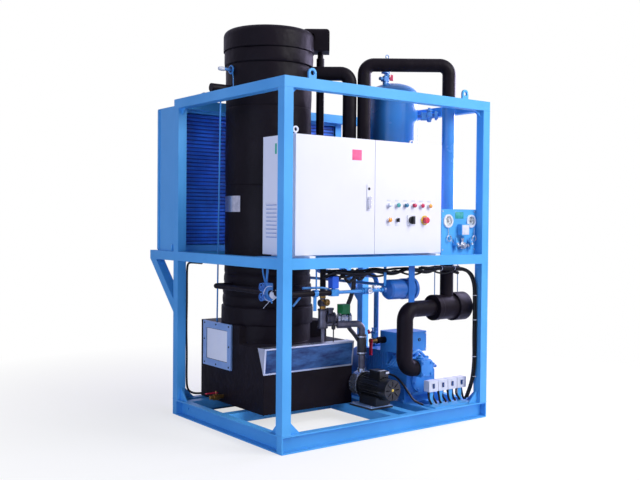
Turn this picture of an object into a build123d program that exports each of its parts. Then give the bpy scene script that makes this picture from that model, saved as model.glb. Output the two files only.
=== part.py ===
from build123d import *
from math import atan2, ceil, cos, degrees, hypot, radians, sin, tan
import os

# Tube ice machine: an insulated evaporator tower over an ice cutter and water tank, a compressor set,
# an air-cooled condenser and a control cabinet, all carried by one welded frame of square tube.
# Places are measured from the frame's front left foot in millimetres: X along the front, Y to the back,
# Z up. The finished solids are moved so that the origin is the middle of the footprint.

# Frame
FRAME_W = 1630
FRAME_D = 1260
FRAME_H = 2060
TUBE = 60
MID_RAIL_Z = 1008
MID_RAIL_TOP = MID_RAIL_Z + TUBE
CANTILEVER = 340
GUSSET_HEAD = 42
GUSSET_FOOT = 80
GUSSET_T = 8
OVERALL_D = FRAME_D + CANTILEVER
FRAME_RIGHT = FRAME_W - TUBE
FRAME_BACK = FRAME_D - TUBE

# Skid: open channel round the outside, square cross members inside it
CHANNEL_H = 100
CHANNEL_W = 50
CHANNEL_WEB = 6
CHANNEL_FLANGE = 8
END_PLATE = 8
CROSS_H = 60
ANCHOR_HOLE_R = 9
ANCHOR_INSET_X = 200
ANCHOR_INSET_Y = 22
DRAIN_HOLE_R = 8.5
DRAIN_HOLE_FROM_BACK = 138

# Lifting lugs on the top rails
LUG_INSET = 206
LUG_T = 12
LUG_R = 27
LUG_HOLE_R = 14
LUG_RISE = 36

# Evaporator tower
TOWER_X = 504
TOWER_Y = 907
SHELL_R = 245
SHELL_WALL = 8
FOAM_BODY = 35
FOAM_FOOT = 56
FOAM_SKIRT = 45
FOAM_COLLAR = 44
FOAM_CAP = 51
FOAM_CLEARANCE = 0.3
TOWER_TOP = 2367
COLLAR_H = 93
FOOT_H = 113
SKIRT_H = 139
CAP_H = 135
CAP_ROUND = 42
WATER_BOX_H = 95

# Tube bundle inside the tower
TUBE_PITCH = 88
ICE_TUBE_R = 19
ICE_TUBE_WALL = 3
TUBE_SHEET_T = 20
TUBE_SHEET_LOW = 30
TUBE_CLEARANCE = 0.1
SPOUT_R = 9

# Ice box under the tower: water tank, cutter housing and ice outlet
BOX_LEFT = 207
BOX_W = 686
BOX_FRONT = 495
BOX_BACK = 1250
BOX_STEP_Y = 770
BOX_Z = 100
BOX_LOW_TOP = 500
BOX_TOP = 612
BOX_WALL = 30
HOUSING_R = 285
BOX_RIGHT = BOX_LEFT + BOX_W

# Ice outlet on the left wall, with a framed blank cover
OUTLET_Y = 857
OUTLET_W = 351
OUTLET_Z = 320
OUTLET_H = 292
OUTLET_RIM = 44
OUTLET_T = 12
COVER_T = 8
COVER_CLEARANCE = 0.3

# Stainless cover folded over the tank's front edge
SHEET = 3
FRONT_COVER_Z = 342
FRONT_COVER_LEAN = 14
FRONT_COVER_FLANGE = 50

# Cutter
SHAFT_R = 20
RUNNING_CLEARANCE = 0.05
CUTTER_R = 222
CUTTER_Z = 545
CUTTER_RIM = 8
CUTTER_H = 40
CUTTER_ARMS = 4
GEARBOX_R = 90
GEARBOX_TOP = 355
MOTOR_TOP = 250
SLIDE_LOW_Z = 345
SLIDE_HIGH_Z = 458
SLIDE_T = 6
SLIDE_GAP = 0.5

# Condenser
COND_LEFT = 20
COND_W = 1385
COND_FRONT = 1268
COND_D = 256
COND_H = 956
COND_SHEET = 4
COND_FLANGE = 57
COIL_FRONT_INSET = 18
COIL_D = 66
COIL_TUBE_PITCH = 25
COIL_TUBE_DEPTH = 8
FAN_R = 285
FAN_TIP_GAP = 8
FAN_RING_T = 5
FAN_RING_D = 36
FAN_HUB_R = 78
FAN_HUB_D = 34
FAN_BLADES = 5
FAN_SHAFT_R = 9
FAN_MOTOR_R = 62
GUARD_WIRE = 5
COND_RIGHT = COND_LEFT + COND_W

# Separator vessel
VESSEL_X = 1330
VESSEL_Y = 610
VESSEL_R = 170
VESSEL_TOP = 2221
VESSEL_HEAD = 85
SKIRT_R = 150
SKIRT_TOP = 1200
BASE_RING_R = 186
BASE_RING_T = 10

# Large insulated pipes
PIPE_A_X = 906
PIPE_A_Y = 560
PIPE_A_R = 45.5
PIPE_B_X = 981
PIPE_B_Y = 503
PIPE_B_R = 43.5
TOWER_OUTLET_Z = 2237
VENT_Z = 2106
PIPE_B_TOP = 2295
VESSEL_INLET_Z = 1260
VESSEL_OUTLET_Z = 1500
LEVEL_VALVE_Z = 1996
NOZZLE_R = 38
NOZZLE_L = 30
RISER_X = 1422
RISER_Y = 170
RISER_R = 42
ELBOW_R = 62

# Suction strainer in the lower bay
STRAINER_Z = 722
STRAINER_LEFT = 1292
STRAINER_RIGHT = 1574
STRAINER_CAP_R = 83
STRAINER_CAP_L = 40
STRAINER_NECK_R = 80
STRAINER_DRUM_R = 93
STRAINER_DRUM_L = 108
SUCTION_X = 1055
SUCTION_R = 51.5

# Compressor
COMP_LEFT = 1150
COMP_W = 250
COMP_FRONT = 250
COMP_L = 650
COMP_AXIS_Z = 270
COMP_MOTOR_R = 125
COMP_CRANK_L = 190
COMP_RAIL_Z = 100
COMP_FOOT_T = 12
HEAD_ANGLE = 42
HEAD_W = 96
HEAD_L = 150
HEAD_H = 34
TERMINAL_Y = 326
TERMINAL_D = 190
TERMINAL_Z = 416
TERMINAL_H = 133
SUCTION_VALVE_Z = 345
COMP_X = COMP_LEFT + COMP_W / 2
COMP_RIGHT = COMP_LEFT + COMP_W
COMP_BACK = COMP_FRONT + COMP_L

# Water pump
PUMP_X = 940
PUMP_Z = 226
PUMP_FRONT = 150
PUMP_MOTOR_L = 262
PUMP_MOTOR_R = 74
FAN_COVER_R = 66
FAN_COVER_L = 62
FAN_COVER_WALL = 2
PUMP_FLANGE_R = 86
PUMP_FLANGE_T = 8
PUMP_HEAD_L = 64
PUMP_HEAD_R = 80
PUMP_SHAFT_R = 10
PUMP_BASE_T = 12
IMPELLER_R = 58
WATER_PIPE_R = 21
PUMP_OUT_Y = PUMP_FRONT + PUMP_MOTOR_L + PUMP_FLANGE_T + PUMP_HEAD_L / 2
PUMP_BACK = PUMP_OUT_Y + PUMP_HEAD_L / 2

# Water line from the pump to the top of the tower
WATER_Z = 613
WATER_VALVE_X = 700
WATER_VALVE_Y = 560
SLEEVE_R = 29
COIL_BOX = 60
STRAINER_BODY_R = 27
FILTER_R = 29
BRASS_Z = 711
BRASS_TOP = 797
RISE_PIPE_R = 19
RISE_X = 818
RISE_Y = 763
RISE_JOG_LOW = 1250
RISE_JOG_HIGH = 1560
HEADER_TOP = 2540
HEADER_H = 148
HEADER_L = 176
HEADER_D = 150
HEADER_TURN = -37.2
HEADER_X = 795
HEADER_Y = 780

# Control cabinet
CAB_LEFT = 121
CAB_W = 1132
CAB_FRONT = 60
CAB_D = 326
CAB_Z = 1080
CAB_H = 680
CAB_SHEET = 3
DOOR_T = 22
DOOR_SHEET = 2.5
DOOR_GAP = 0.8
DOOR_SPLIT = 579
DOOR_MEET_GAP = 3
CAB_RIGHT = CAB_LEFT + CAB_W
CAB_BACK = CAB_FRONT + CAB_D
CAB_TOP = CAB_Z + CAB_H

# Door furniture and operators
HANDLE_X = 651
HANDLE_Z = 1412
OPERATOR_PITCH = 67
OPERATOR_X = 811
ROW_HIGH_Z = 1376
ROW_LOW_Z = 1286
BEZEL_R = 14.5
CAP_R = 10.7
OPERATOR_BORE_R = 11
OPERATOR_NECK_R = 11.9
PANEL_HOLE_R = 12
BUTTON_TRAVEL = 4
STOP_HEAD_R = 20
STOP_RING_R = 30
SWITCH_PLATE = 62

# Gauge panel
PANEL_LEFT = 1258
PANEL_W = 312
PANEL_LOW_Z = 1012
PANEL_TOP = 1359
PANEL_T = 4
GAUGE_Z = 1283
GAUGE_X = (1313, 1524)
GAUGE_FLANGE_R = 42
GAUGE_BODY_R = 34
GAUGE_DEPTH = 30
GAUGE_LIP = 3

# Liquid line along the front
LINE_Y = 100
LINE_Z = 862
LINE_R = 10
DRIER_LEFT = 808
DRIER_L = 256
DRIER_R = 61
SIGHT_X = 650
SOLENOID_X = 425
INSULATED_R = 16
HAND_VALVE_X = 100
HAND_VALVE_Y = 300
WHEEL_R = 24
STEM_R = 4

# Four small control boxes on a stand
SMALL_BOX_LEFT = 1206
SMALL_BOX_PITCH = 85
SMALL_BOX_W = 81
SMALL_BOX_H = 70
SMALL_BOX_D = 48
SMALL_BOX_Y = 100
SMALL_BOX_Z = 192
SMALL_BOXES = 4

CABLE_R = 7
BUNDLE_R = 13

os.makedirs("parts", exist_ok=True)


def box(x0, x1, y0, y1, z0, z1):
    """Block between two opposite corners."""
    middle = Pos((x0 + x1) / 2, (y0 + y1) / 2, (z0 + z1) / 2)
    return middle * Box(x1 - x0, y1 - y0, z1 - z0)


def across_x(outline, x0, x1):
    """Solid with an outline in (y, z), from x0 to x1."""
    plane = Plane(origin=(x0, 0, 0), x_dir=(0, 1, 0), z_dir=(1, 0, 0))
    return extrude(plane * make_face(Polyline(*outline, close=True)), x1 - x0)


def across_y(outline, y0, y1):
    """Solid with an outline in (x, z), from y0 to y1."""
    plane = Plane(origin=(0, y1, 0), x_dir=(1, 0, 0), z_dir=(0, -1, 0))
    return extrude(plane * make_face(Polyline(*outline, close=True)), y1 - y0)


def across_z(outline, z0, z1):
    """Solid with an outline in (x, y), from z0 to z1."""
    return extrude(Plane.XY.offset(z0) * make_face(Polyline(*outline, close=True)), z1 - z0)


def rod(start, end, radius, bore=0):
    """Round bar or tube between two points."""
    line = Vector(*end) - Vector(*start)
    section = Circle(radius) - Circle(bore) if bore else Circle(radius)
    return extrude(Plane(origin=start, z_dir=line) * section, line.length)


def turned(outline, x, y, z=0):
    """Solid of revolution about the vertical through (x, y), from an outline in (radius, height)."""
    return Pos(x, y, z) * revolve(Plane.XZ * make_face(Polyline(*outline, close=True)), Axis.Z)


def turned_to(outline, origin, direction):
    """Solid of revolution about a line that leaves origin in a direction, from (radius, distance)."""
    body = revolve(Plane.XZ * make_face(Polyline(*outline, close=True)), Axis.Z)
    return Plane(origin=origin, z_dir=direction).location * body


def pipe_pieces(points, radius, bend):
    """Straight lengths of pipe and the elbows between them, each its own solid, meeting face to face."""
    corners = [Vector(*p) for p in points]
    pieces, start = [], corners[0]
    for before, corner, after in zip(corners, corners[1:], corners[2:]):
        into = (corner - before).normalized()
        out = (after - corner).normalized()
        reach = bend * tan(radians(into.get_angle(out)) / 2)
        first, last = corner - into * reach, corner + out * reach
        if (first - start).length > 0.01:
            pieces.append(rod(tuple(start), tuple(first), radius))
        arc = TangentArc(first, last, tangent=into)
        pieces.append(sweep(Plane(origin=first, z_dir=into) * Circle(radius), path=arc))
        start = last
    pieces.append(rod(tuple(start), tuple(corners[-1]), radius))
    return pieces


def cable(name, points, radius):
    """Cable along straight runs joined by arcs as large as the runs allow."""
    corners = [Vector(*p) for p in points]
    radii = []
    for before, corner, after in zip(corners, corners[1:], corners[2:]):
        turn = (corner - before).get_angle(after - corner)
        shorter = min((corner - before).length, (after - corner).length)
        radii.append(0.45 * shorter / tan(radians(turn) / 2))
    print(name, "bend radii", [round(r) for r in radii])
    path = FilletPolyline(*points, radius=radii)
    return sweep(Plane(origin=points[0], z_dir=corners[1] - corners[0]) * Circle(radius), path=path)


def save(name, *pieces):
    """Write one sub-part, moved to the origin in the middle of the footprint."""
    solids = [solid for piece in pieces for solid in piece.solids()]
    placed = Pos(-FRAME_W / 2, -OVERALL_D / 2, 0) * Compound(solids)
    export_step(placed, f"parts/{name}.step")


# Frame


def skid():
    """Channel on edge round the outside with its open side outward, end plates and cross members."""
    inner_web = CHANNEL_W - CHANNEL_WEB
    profile = [
        (0, 0), (CHANNEL_W, 0), (CHANNEL_W, CHANNEL_H), (0, CHANNEL_H),
        (0, CHANNEL_H - CHANNEL_FLANGE), (inner_web, CHANNEL_H - CHANNEL_FLANGE),
        (inner_web, CHANNEL_FLANGE), (0, CHANNEL_FLANGE),
    ]
    front = across_x(profile, END_PLATE, FRAME_W - END_PLATE)
    left = across_y(profile, CHANNEL_W, FRAME_D - CHANNEL_W)
    for x in (ANCHOR_INSET_X, FRAME_W - ANCHOR_INSET_X):
        front -= rod((x, ANCHOR_INSET_Y, -1), (x, ANCHOR_INSET_Y, CHANNEL_FLANGE + 1), ANCHOR_HOLE_R)
    hole_y = FRAME_D - DRAIN_HOLE_FROM_BACK
    left -= rod((inner_web - 1, hole_y, CHANNEL_H / 2), (CHANNEL_W + 1, hole_y, CHANNEL_H / 2), DRAIN_HOLE_R)
    middle = Plane(origin=(FRAME_W / 2, FRAME_D / 2, 0), z_dir=(1, 0, 0))
    across = Plane(origin=(FRAME_W / 2, FRAME_D / 2, 0), z_dir=(0, 1, 0))
    pieces = [front, front.mirror(across), left, left.mirror(middle)]
    for x in (0, FRAME_W - END_PLATE):
        for y in (0, FRAME_D - CHANNEL_W):
            pieces.append(box(x, x + END_PLATE, y, y + CHANNEL_W, 0, CHANNEL_H))
    inside = (CHANNEL_W, FRAME_D - CHANNEL_W)
    low = CHANNEL_H - CROSS_H
    for x in (PUMP_X - 100, PUMP_X + 40, COMP_LEFT + 10, COMP_RIGHT - 70):
        pieces.append(box(x, x + CROSS_H, *inside, low, CHANNEL_H))
    for y in (BOX_FRONT + 150, BOX_BACK - 150):
        pieces.append(box(CHANNEL_W, PUMP_X - 100, y, y + CROSS_H, low, CHANNEL_H))
    return pieces


def posts():
    """Four corner posts between the skid and the top rails."""
    return [
        box(x, x + TUBE, y, y + TUBE, CHANNEL_H, FRAME_H - TUBE)
        for x in (0, FRAME_RIGHT)
        for y in (0, FRAME_BACK)
    ]


def rails():
    """Top and middle rails, the arms and beams under the condenser, and the beams under the cabinet and vessel."""
    top = (FRAME_H - TUBE, FRAME_H)
    middle = (MID_RAIL_Z, MID_RAIL_TOP)
    pieces = []
    for y in (0, FRAME_BACK):
        pieces.append(box(0, FRAME_W, y, y + TUBE, *top))
        pieces.append(box(TUBE, FRAME_RIGHT, y, y + TUBE, *middle))
    for x in (0, FRAME_RIGHT):
        pieces.append(box(x, x + TUBE, TUBE, FRAME_BACK, *top))
        pieces.append(box(x, x + TUBE, TUBE, FRAME_BACK, *middle))
        pieces.append(box(x, x + TUBE, FRAME_D, OVERALL_D, *middle))
    for y in (COND_FRONT, OVERALL_D - TUBE):
        pieces.append(box(TUBE, FRAME_RIGHT, y, y + TUBE, *middle))
    cabinet_beam = CAB_BACK - TUBE
    pieces.append(box(TUBE, FRAME_RIGHT, cabinet_beam, CAB_BACK, *middle))
    for x in (VESSEL_X - SKIRT_R, VESSEL_X + SKIRT_R - TUBE):
        pieces.append(box(x, x + TUBE, CAB_BACK, FRAME_BACK, *middle))
    return pieces


def braces():
    """Diagonal braces under the cantilever arms, and triangular gussets at the heads and feet of the posts."""
    rise = TUBE * 2 ** 0.5
    reach = CANTILEVER - 3
    low = MID_RAIL_Z - reach
    diagonal = [
        (FRAME_D, low), (FRAME_D + reach, MID_RAIL_Z),
        (FRAME_D + reach - rise, MID_RAIL_Z), (FRAME_D, low + rise),
    ]
    pieces = [across_x(diagonal, x, x + TUBE) for x in (0, FRAME_RIGHT)]
    inset = (TUBE - GUSSET_T) / 2
    for z, down, size in ((FRAME_H - TUBE, -1, GUSSET_HEAD), (CHANNEL_H, 1, GUSSET_FOOT)):
        for y in (0, FRAME_BACK):
            for x, side in ((TUBE, 1), (FRAME_RIGHT, -1)):
                corner = [(x, z), (x + side * size, z), (x, z + down * size)]
                pieces.append(across_y(corner, y + inset, y + inset + GUSSET_T))
        for x in (0, FRAME_RIGHT):
            for y, side in ((TUBE, 1), (FRAME_BACK, -1)):
                corner = [(y, z), (y + side * size, z), (y, z + down * size)]
                pieces.append(across_x(corner, x + inset, x + inset + GUSSET_T))
    return pieces


def lifting_lugs():
    """Plates with an eye, welded on top of the front and rear rails."""
    pieces = []
    for x in (LUG_INSET, FRAME_W - LUG_INSET):
        for y in (TUBE / 2, FRAME_D - TUBE / 2):
            eye = (x, y - LUG_T / 2, FRAME_H + LUG_RISE)
            far = (x, y + LUG_T / 2, FRAME_H + LUG_RISE)
            lug = rod(eye, far, LUG_R)
            lug += box(x - LUG_R, x + LUG_R, eye[1], far[1], FRAME_H, FRAME_H + LUG_RISE)
            pieces.append(lug - rod((x, y - LUG_T, eye[2]), (x, y + LUG_T, eye[2]), LUG_HOLE_R))
    return pieces


# Evaporator tower


def tower_outline():
    """Outside of the foam jacket as (radius, height): foot ring, skirt, body and collar."""
    foot, skirt = SHELL_R + FOAM_FOOT, SHELL_R + FOAM_SKIRT
    body, collar = SHELL_R + FOAM_BODY, SHELL_R + FOAM_COLLAR
    first = BOX_TOP + FOOT_H
    second = first + SKIRT_H
    third = TOWER_TOP - COLLAR_H
    return [
        (foot, BOX_TOP), (foot, first), (skirt, first), (skirt, second),
        (body, second), (body, third), (collar, third), (collar, TOWER_TOP),
    ]


def tower_envelope():
    """The jacket and cap as one full body, to cut what butts against them."""
    cap = SHELL_R + FOAM_CAP
    outline = [(0, BOX_TOP)] + tower_outline() + [(cap, TOWER_TOP), (cap, TOWER_TOP + CAP_H), (0, TOWER_TOP + CAP_H)]
    return turned(outline, TOWER_X, TOWER_Y)


def tower_jacket():
    """Foam jacket round the steel shell."""
    bore = SHELL_R + FOAM_CLEARANCE
    outline = [(bore, BOX_TOP)] + tower_outline() + [(bore, TOWER_TOP)]
    return turned(outline, TOWER_X, TOWER_Y)


def tower_cap():
    """Foam lid with a rounded edge over the water box."""
    outer = SHELL_R + FOAM_CAP
    cap = Pos(TOWER_X, TOWER_Y, TOWER_TOP + CAP_H / 2) * Cylinder(outer, CAP_H)
    cap = fillet(cap.edges().sort_by(Axis.Z)[-1], CAP_ROUND)
    return cap - rod((TOWER_X, TOWER_Y, TOWER_TOP - 1), (TOWER_X, TOWER_Y, TOWER_TOP + WATER_BOX_H), SHELL_R + 1)


def tube_places():
    """Centres of the tubes: one in the middle, then two hexagonal rings."""
    places = [(TOWER_X, TOWER_Y)]
    for ring in (1, 2):
        corners = [(ring * TUBE_PITCH * cos(radians(a)), ring * TUBE_PITCH * sin(radians(a))) for a in range(0, 360, 60)]
        for (x0, y0), (x1, y1) in zip(corners, corners[1:] + corners[:1]):
            for step in range(ring):
                share = step / ring
                places.append((TOWER_X + x0 + (x1 - x0) * share, TOWER_Y + y0 + (y1 - y0) * share))
    return places


def tube_sheet(z):
    """Round plate across the shell with a hole for every tube."""
    sheet = Plane.XY.offset(z) * (Pos(TOWER_X, TOWER_Y) * Circle(SHELL_R - SHELL_WALL / 2))
    for x, y in tube_places():
        sheet -= Plane.XY.offset(z) * (Pos(x, y) * Circle(ICE_TUBE_R + TUBE_CLEARANCE))
    return extrude(sheet, TUBE_SHEET_T)


def evaporator_shell():
    """Steel shell with a tube sheet near each end, standing on the cutter housing."""
    shell = rod((TOWER_X, TOWER_Y, BOX_TOP), (TOWER_X, TOWER_Y, TOWER_TOP), SHELL_R, SHELL_R - SHELL_WALL)
    for z in (BOX_TOP + TUBE_SHEET_LOW, TOWER_TOP - TUBE_SHEET_T):
        shell += tube_sheet(z)
    return shell


def evaporator_tubes():
    """Straight tubes in which the ice freezes, rolled into both tube sheets."""
    low = BOX_TOP + TUBE_SHEET_LOW
    return [rod((x, y, low), (x, y, TOWER_TOP), ICE_TUBE_R, ICE_TUBE_R - ICE_TUBE_WALL) for x, y in tube_places()]


def water_distributor():
    """Tray over the tubes with a spout into each tube."""
    rim_r = SHELL_R - 2
    tray_z = TOWER_TOP + 20
    tray = rod((TOWER_X, TOWER_Y, TOWER_TOP), (TOWER_X, TOWER_Y, tray_z + 40), rim_r, rim_r - 3)
    tray += rod((TOWER_X, TOWER_Y, tray_z), (TOWER_X, TOWER_Y, tray_z + 4), rim_r)
    for x, y in tube_places():
        tray += rod((x, y, TOWER_TOP - 30), (x, y, tray_z), SPOUT_R)
    return tray


# Ice box, outlet and cutter


def ice_box():
    """Insulated housing: water tank with a lower front part, cutter housing at the back, round top opening."""
    outer = box(BOX_LEFT, BOX_RIGHT, BOX_FRONT, BOX_BACK, BOX_Z, BOX_LOW_TOP)
    outer += box(BOX_LEFT, BOX_RIGHT, BOX_STEP_Y, BOX_BACK, BOX_LOW_TOP, BOX_TOP)
    outer += rod((TOWER_X, TOWER_Y, BOX_LOW_TOP), (TOWER_X, TOWER_Y, BOX_TOP), HOUSING_R)
    w = BOX_WALL
    inner = box(BOX_LEFT + w, BOX_RIGHT - w, BOX_FRONT + w, BOX_BACK - w, BOX_Z + w, BOX_LOW_TOP - w)
    inner += box(BOX_LEFT + w, BOX_RIGHT - w, BOX_STEP_Y + w, BOX_BACK - w, BOX_LOW_TOP - w, BOX_TOP - w)
    inner += rod((TOWER_X, TOWER_Y, BOX_LOW_TOP - w), (TOWER_X, TOWER_Y, BOX_TOP - w), HOUSING_R - w)
    opening = rod((TOWER_X, TOWER_Y, BOX_TOP - w - 1), (TOWER_X, TOWER_Y, BOX_TOP + 1), SHELL_R - SHELL_WALL)
    y0, y1, z0, z1 = outlet_opening()
    outlet = box(BOX_LEFT - 1, BOX_LEFT + w + 1, y0, y1, z0, z1)
    return outer - inner - opening - outlet


def outlet_opening():
    """Sides of the ice outlet's clear opening: front, back, bottom and top."""
    front, low = OUTLET_Y + OUTLET_RIM, OUTLET_Z + OUTLET_RIM
    return front, OUTLET_Y + OUTLET_W - OUTLET_RIM, low, OUTLET_Z + OUTLET_H - OUTLET_RIM


def outlet_frame():
    """Flat screwed frame round the ice outlet."""
    y0, y1, z0, z1 = outlet_opening()
    frame = box(BOX_LEFT - OUTLET_T, BOX_LEFT, OUTLET_Y, OUTLET_Y + OUTLET_W, OUTLET_Z, OUTLET_Z + OUTLET_H)
    return frame - box(BOX_LEFT - OUTLET_T - 1, BOX_LEFT + 1, y0, y1, z0, z1)


def outlet_cover():
    """Blank cover that sits in the frame and closes the outlet."""
    y0, y1, z0, z1 = outlet_opening()
    c = COVER_CLEARANCE
    pane = box(BOX_LEFT - COVER_T, BOX_LEFT, y0 + c, y1 - c, z0 + c, z1 - c)
    return fillet(pane.edges().filter_by(Axis.X), 6)


def front_cover():
    """Sheet folded over the tank's front edge, with a triangular cheek at each end."""
    lean = BOX_FRONT - FRONT_COVER_LEAN
    top = BOX_LOW_TOP + SHEET
    back = BOX_FRONT + FRONT_COVER_FLANGE
    fold = [
        (BOX_FRONT, FRONT_COVER_Z), (BOX_FRONT - SHEET, FRONT_COVER_Z), (lean - SHEET, top),
        (back, top), (back, BOX_LOW_TOP), (lean, BOX_LOW_TOP),
    ]
    cheek = [(BOX_FRONT - SHEET, FRONT_COVER_Z), (lean - SHEET, top), (back + 12, top), (BOX_FRONT, FRONT_COVER_Z)]
    cover = across_x(fold, BOX_LEFT - SHEET, BOX_RIGHT + SHEET)
    cover += across_x(cheek, BOX_LEFT - SHEET, BOX_LEFT)
    return cover + across_x(cheek, BOX_RIGHT, BOX_RIGHT + SHEET)


def ice_slide():
    """Sloping plate that leads the cut ice to the outlet, with a hole for the cutter's shaft."""
    x0, x1 = BOX_LEFT + BOX_WALL + SLIDE_GAP, BOX_RIGHT - BOX_WALL - SLIDE_GAP
    outline = [(x0, SLIDE_LOW_Z), (x1, SLIDE_HIGH_Z), (x1, SLIDE_HIGH_Z + SLIDE_T), (x0, SLIDE_LOW_Z + SLIDE_T)]
    front = TOWER_Y - HOUSING_R + BOX_WALL
    slide = across_y(outline, front, BOX_BACK - BOX_WALL - SLIDE_GAP)
    return slide - rod((TOWER_X, TOWER_Y, BOX_Z), (TOWER_X, TOWER_Y, BOX_TOP), SHAFT_R + 8)


def cutter_gearmotor():
    """Upright gearmotor on the floor of the housing, bored for the cutter's shaft."""
    floor = BOX_Z + BOX_WALL
    motor = rod((TOWER_X, TOWER_Y, floor), (TOWER_X, TOWER_Y, MOTOR_TOP), GEARBOX_R - 15)
    motor += rod((TOWER_X, TOWER_Y, floor), (TOWER_X, TOWER_Y, floor + 14), GEARBOX_R + 20)
    motor += rod((TOWER_X, TOWER_Y, MOTOR_TOP), (TOWER_X, TOWER_Y, GEARBOX_TOP), GEARBOX_R)
    bore = rod((TOWER_X, TOWER_Y, GEARBOX_TOP - 60), (TOWER_X, TOWER_Y, GEARBOX_TOP + 1), SHAFT_R + RUNNING_CLEARANCE)
    return motor - bore


def cutter_rotor():
    """Cutter wheel: shaft, hub, raked arms with cutting edges and a rim."""
    shaft = rod((TOWER_X, TOWER_Y, GEARBOX_TOP - 60), (TOWER_X, TOWER_Y, CUTTER_Z), SHAFT_R)
    hub = rod((TOWER_X, TOWER_Y, CUTTER_Z), (TOWER_X, TOWER_Y, CUTTER_Z + CUTTER_H), SHAFT_R * 2)
    rim = rod((TOWER_X, TOWER_Y, CUTTER_Z), (TOWER_X, TOWER_Y, CUTTER_Z + CUTTER_H), CUTTER_R, CUTTER_R - CUTTER_RIM)
    wheel = shaft + hub + rim
    rake = [(-26, 0), (-14, 0), (20, CUTTER_H), (14, CUTTER_H)]
    arm = across_x(rake, SHAFT_R, CUTTER_R - CUTTER_RIM / 2)
    for number in range(CUTTER_ARMS):
        wheel += Pos(TOWER_X, TOWER_Y, CUTTER_Z) * Rot(0, 0, number * 360 / CUTTER_ARMS) * arm
    return wheel


# Condenser


def condenser_casing():
    """Folded casing: side channels, top and bottom pans and a fan deck with two ring collars."""
    t = COND_SHEET
    front, back = COND_FRONT, COND_FRONT + COND_D
    low, top = MID_RAIL_TOP, MID_RAIL_TOP + COND_H
    channel = [
        (0, front), (COND_FLANGE, front), (COND_FLANGE, front + t), (t, front + t),
        (t, back - t), (COND_FLANGE, back - t), (COND_FLANGE, back), (0, back),
    ]
    left = [(COND_LEFT + x, y) for x, y in channel]
    right = [(COND_RIGHT - x, y) for x, y in channel]
    inner = (COND_LEFT + t, COND_RIGHT - t)
    pan = [
        (front + t, 0), (back - t, 0), (back - t, 40), (back - 2 * t, 40),
        (back - 2 * t, t), (front + 2 * t, t), (front + 2 * t, 40), (front + t, 40),
    ]
    pieces = [across_z(left, low, top), across_z(right, low, top)]
    pieces.append(across_x([(y, low + z) for y, z in pan], *inner))
    pieces.append(across_x([(y, top - z) for y, z in pan], *inner))
    deck = box(COND_LEFT, COND_RIGHT, back, back + t, low, top)
    for x in fan_places():
        z = (low + top) / 2
        deck -= rod((x, back - 1, z), (x, back + t + 1, z), FAN_R)
        deck += rod((x, back, z), (x, back + t + FAN_RING_D, z), FAN_R + FAN_RING_T, FAN_R)
    pieces.append(deck)
    return pieces


def fan_places():
    """Middle of each fan along the condenser."""
    return (COND_LEFT + COND_W * 0.27, COND_RIGHT - COND_W * 0.27)


def condenser_coil():
    """Finned block with a row of tubes showing on its front face, between two end plates."""
    low, top = MID_RAIL_TOP + 44, MID_RAIL_TOP + COND_H - 44
    front = COND_FRONT + COIL_FRONT_INSET
    back = front + COIL_D
    teeth = []
    rows = int((top - low) / COIL_TUBE_PITCH)
    for row in range(rows):
        z = low + row * COIL_TUBE_PITCH
        teeth += [(front + COIL_TUBE_DEPTH, z), (front, z + 5), (front, z + 13), (front + COIL_TUBE_DEPTH, z + 18)]
    outline = [(back, low), *teeth, (front + COIL_TUBE_DEPTH, top), (back, top)]
    left, right = COND_LEFT + COND_FLANGE + 12, COND_RIGHT - COND_FLANGE - 12
    ends = [
        box(x, x + 8, front, back + 20, MID_RAIL_TOP + COND_SHEET, MID_RAIL_TOP + COND_H - COND_SHEET)
        for x in (left - 8, right)
    ]
    return [across_x(outline, left, right), *ends]


def fan_rotor(x):
    """Axial fan: hub bored for the motor's shaft, and pitched blades."""
    z = MID_RAIL_TOP + COND_H / 2
    y = COND_FRONT + COND_D + 2
    hub = rod((x, y, z), (x, y + FAN_HUB_D, z), FAN_HUB_R)
    span = FAN_R - FAN_TIP_GAP
    blade_face = make_face(Polyline((FAN_HUB_R - 12, -34), (span * 0.97, -62), (span, 8), (span * 0.9, 52), (FAN_HUB_R - 12, 30), close=True))
    blade = Pos(0, 0, -1.5) * extrude(blade_face, 3)
    tip = Rot(16, 0, 0) * blade
    disc = rod((0, 0, -FAN_HUB_D / 2), (0, 0, FAN_HUB_D / 2), span)
    place = Plane(origin=(x, y + FAN_HUB_D / 2, z), x_dir=(1, 0, 0), z_dir=(0, -1, 0)).location
    wheel = hub
    for number in range(FAN_BLADES):
        wheel += place * (Rot(0, 0, number * 360 / FAN_BLADES) * (tip & disc))
    bore = rod((x, y - 1, z), (x, y + FAN_HUB_D + 1, z), FAN_SHAFT_R + RUNNING_CLEARANCE)
    return wheel - bore


def fan_guard(x):
    """Wire guard on the fan ring, with the motor in its middle."""
    z = MID_RAIL_TOP + COND_H / 2
    ring_back = COND_FRONT + COND_D + COND_SHEET + FAN_RING_D
    pieces = []
    for radius in (FAN_R + FAN_RING_T, FAN_R * 0.72, FAN_R * 0.46):
        pieces.append(rod((x, ring_back, z), (x, ring_back + GUARD_WIRE, z), radius, radius - GUARD_WIRE))
    guard = pieces[0] + pieces[1] + pieces[2]
    for number in range(8):
        spoke = box(FAN_MOTOR_R - 2, FAN_R + 2, -GUARD_WIRE / 2, GUARD_WIRE / 2, 0, GUARD_WIRE)
        turn = Plane(origin=(x, ring_back + GUARD_WIRE, z), x_dir=(1, 0, 0), z_dir=(0, -1, 0)).location
        guard += turn * (Rot(0, 0, number * 45) * spoke)
    motor = rod((x, ring_back - 1, z), (x, OVERALL_D, z), FAN_MOTOR_R)
    motor += rod((x, COND_FRONT + COND_D + 8, z), (x, ring_back, z), FAN_SHAFT_R)
    return guard + motor


# Separator vessel and large pipes


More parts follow.
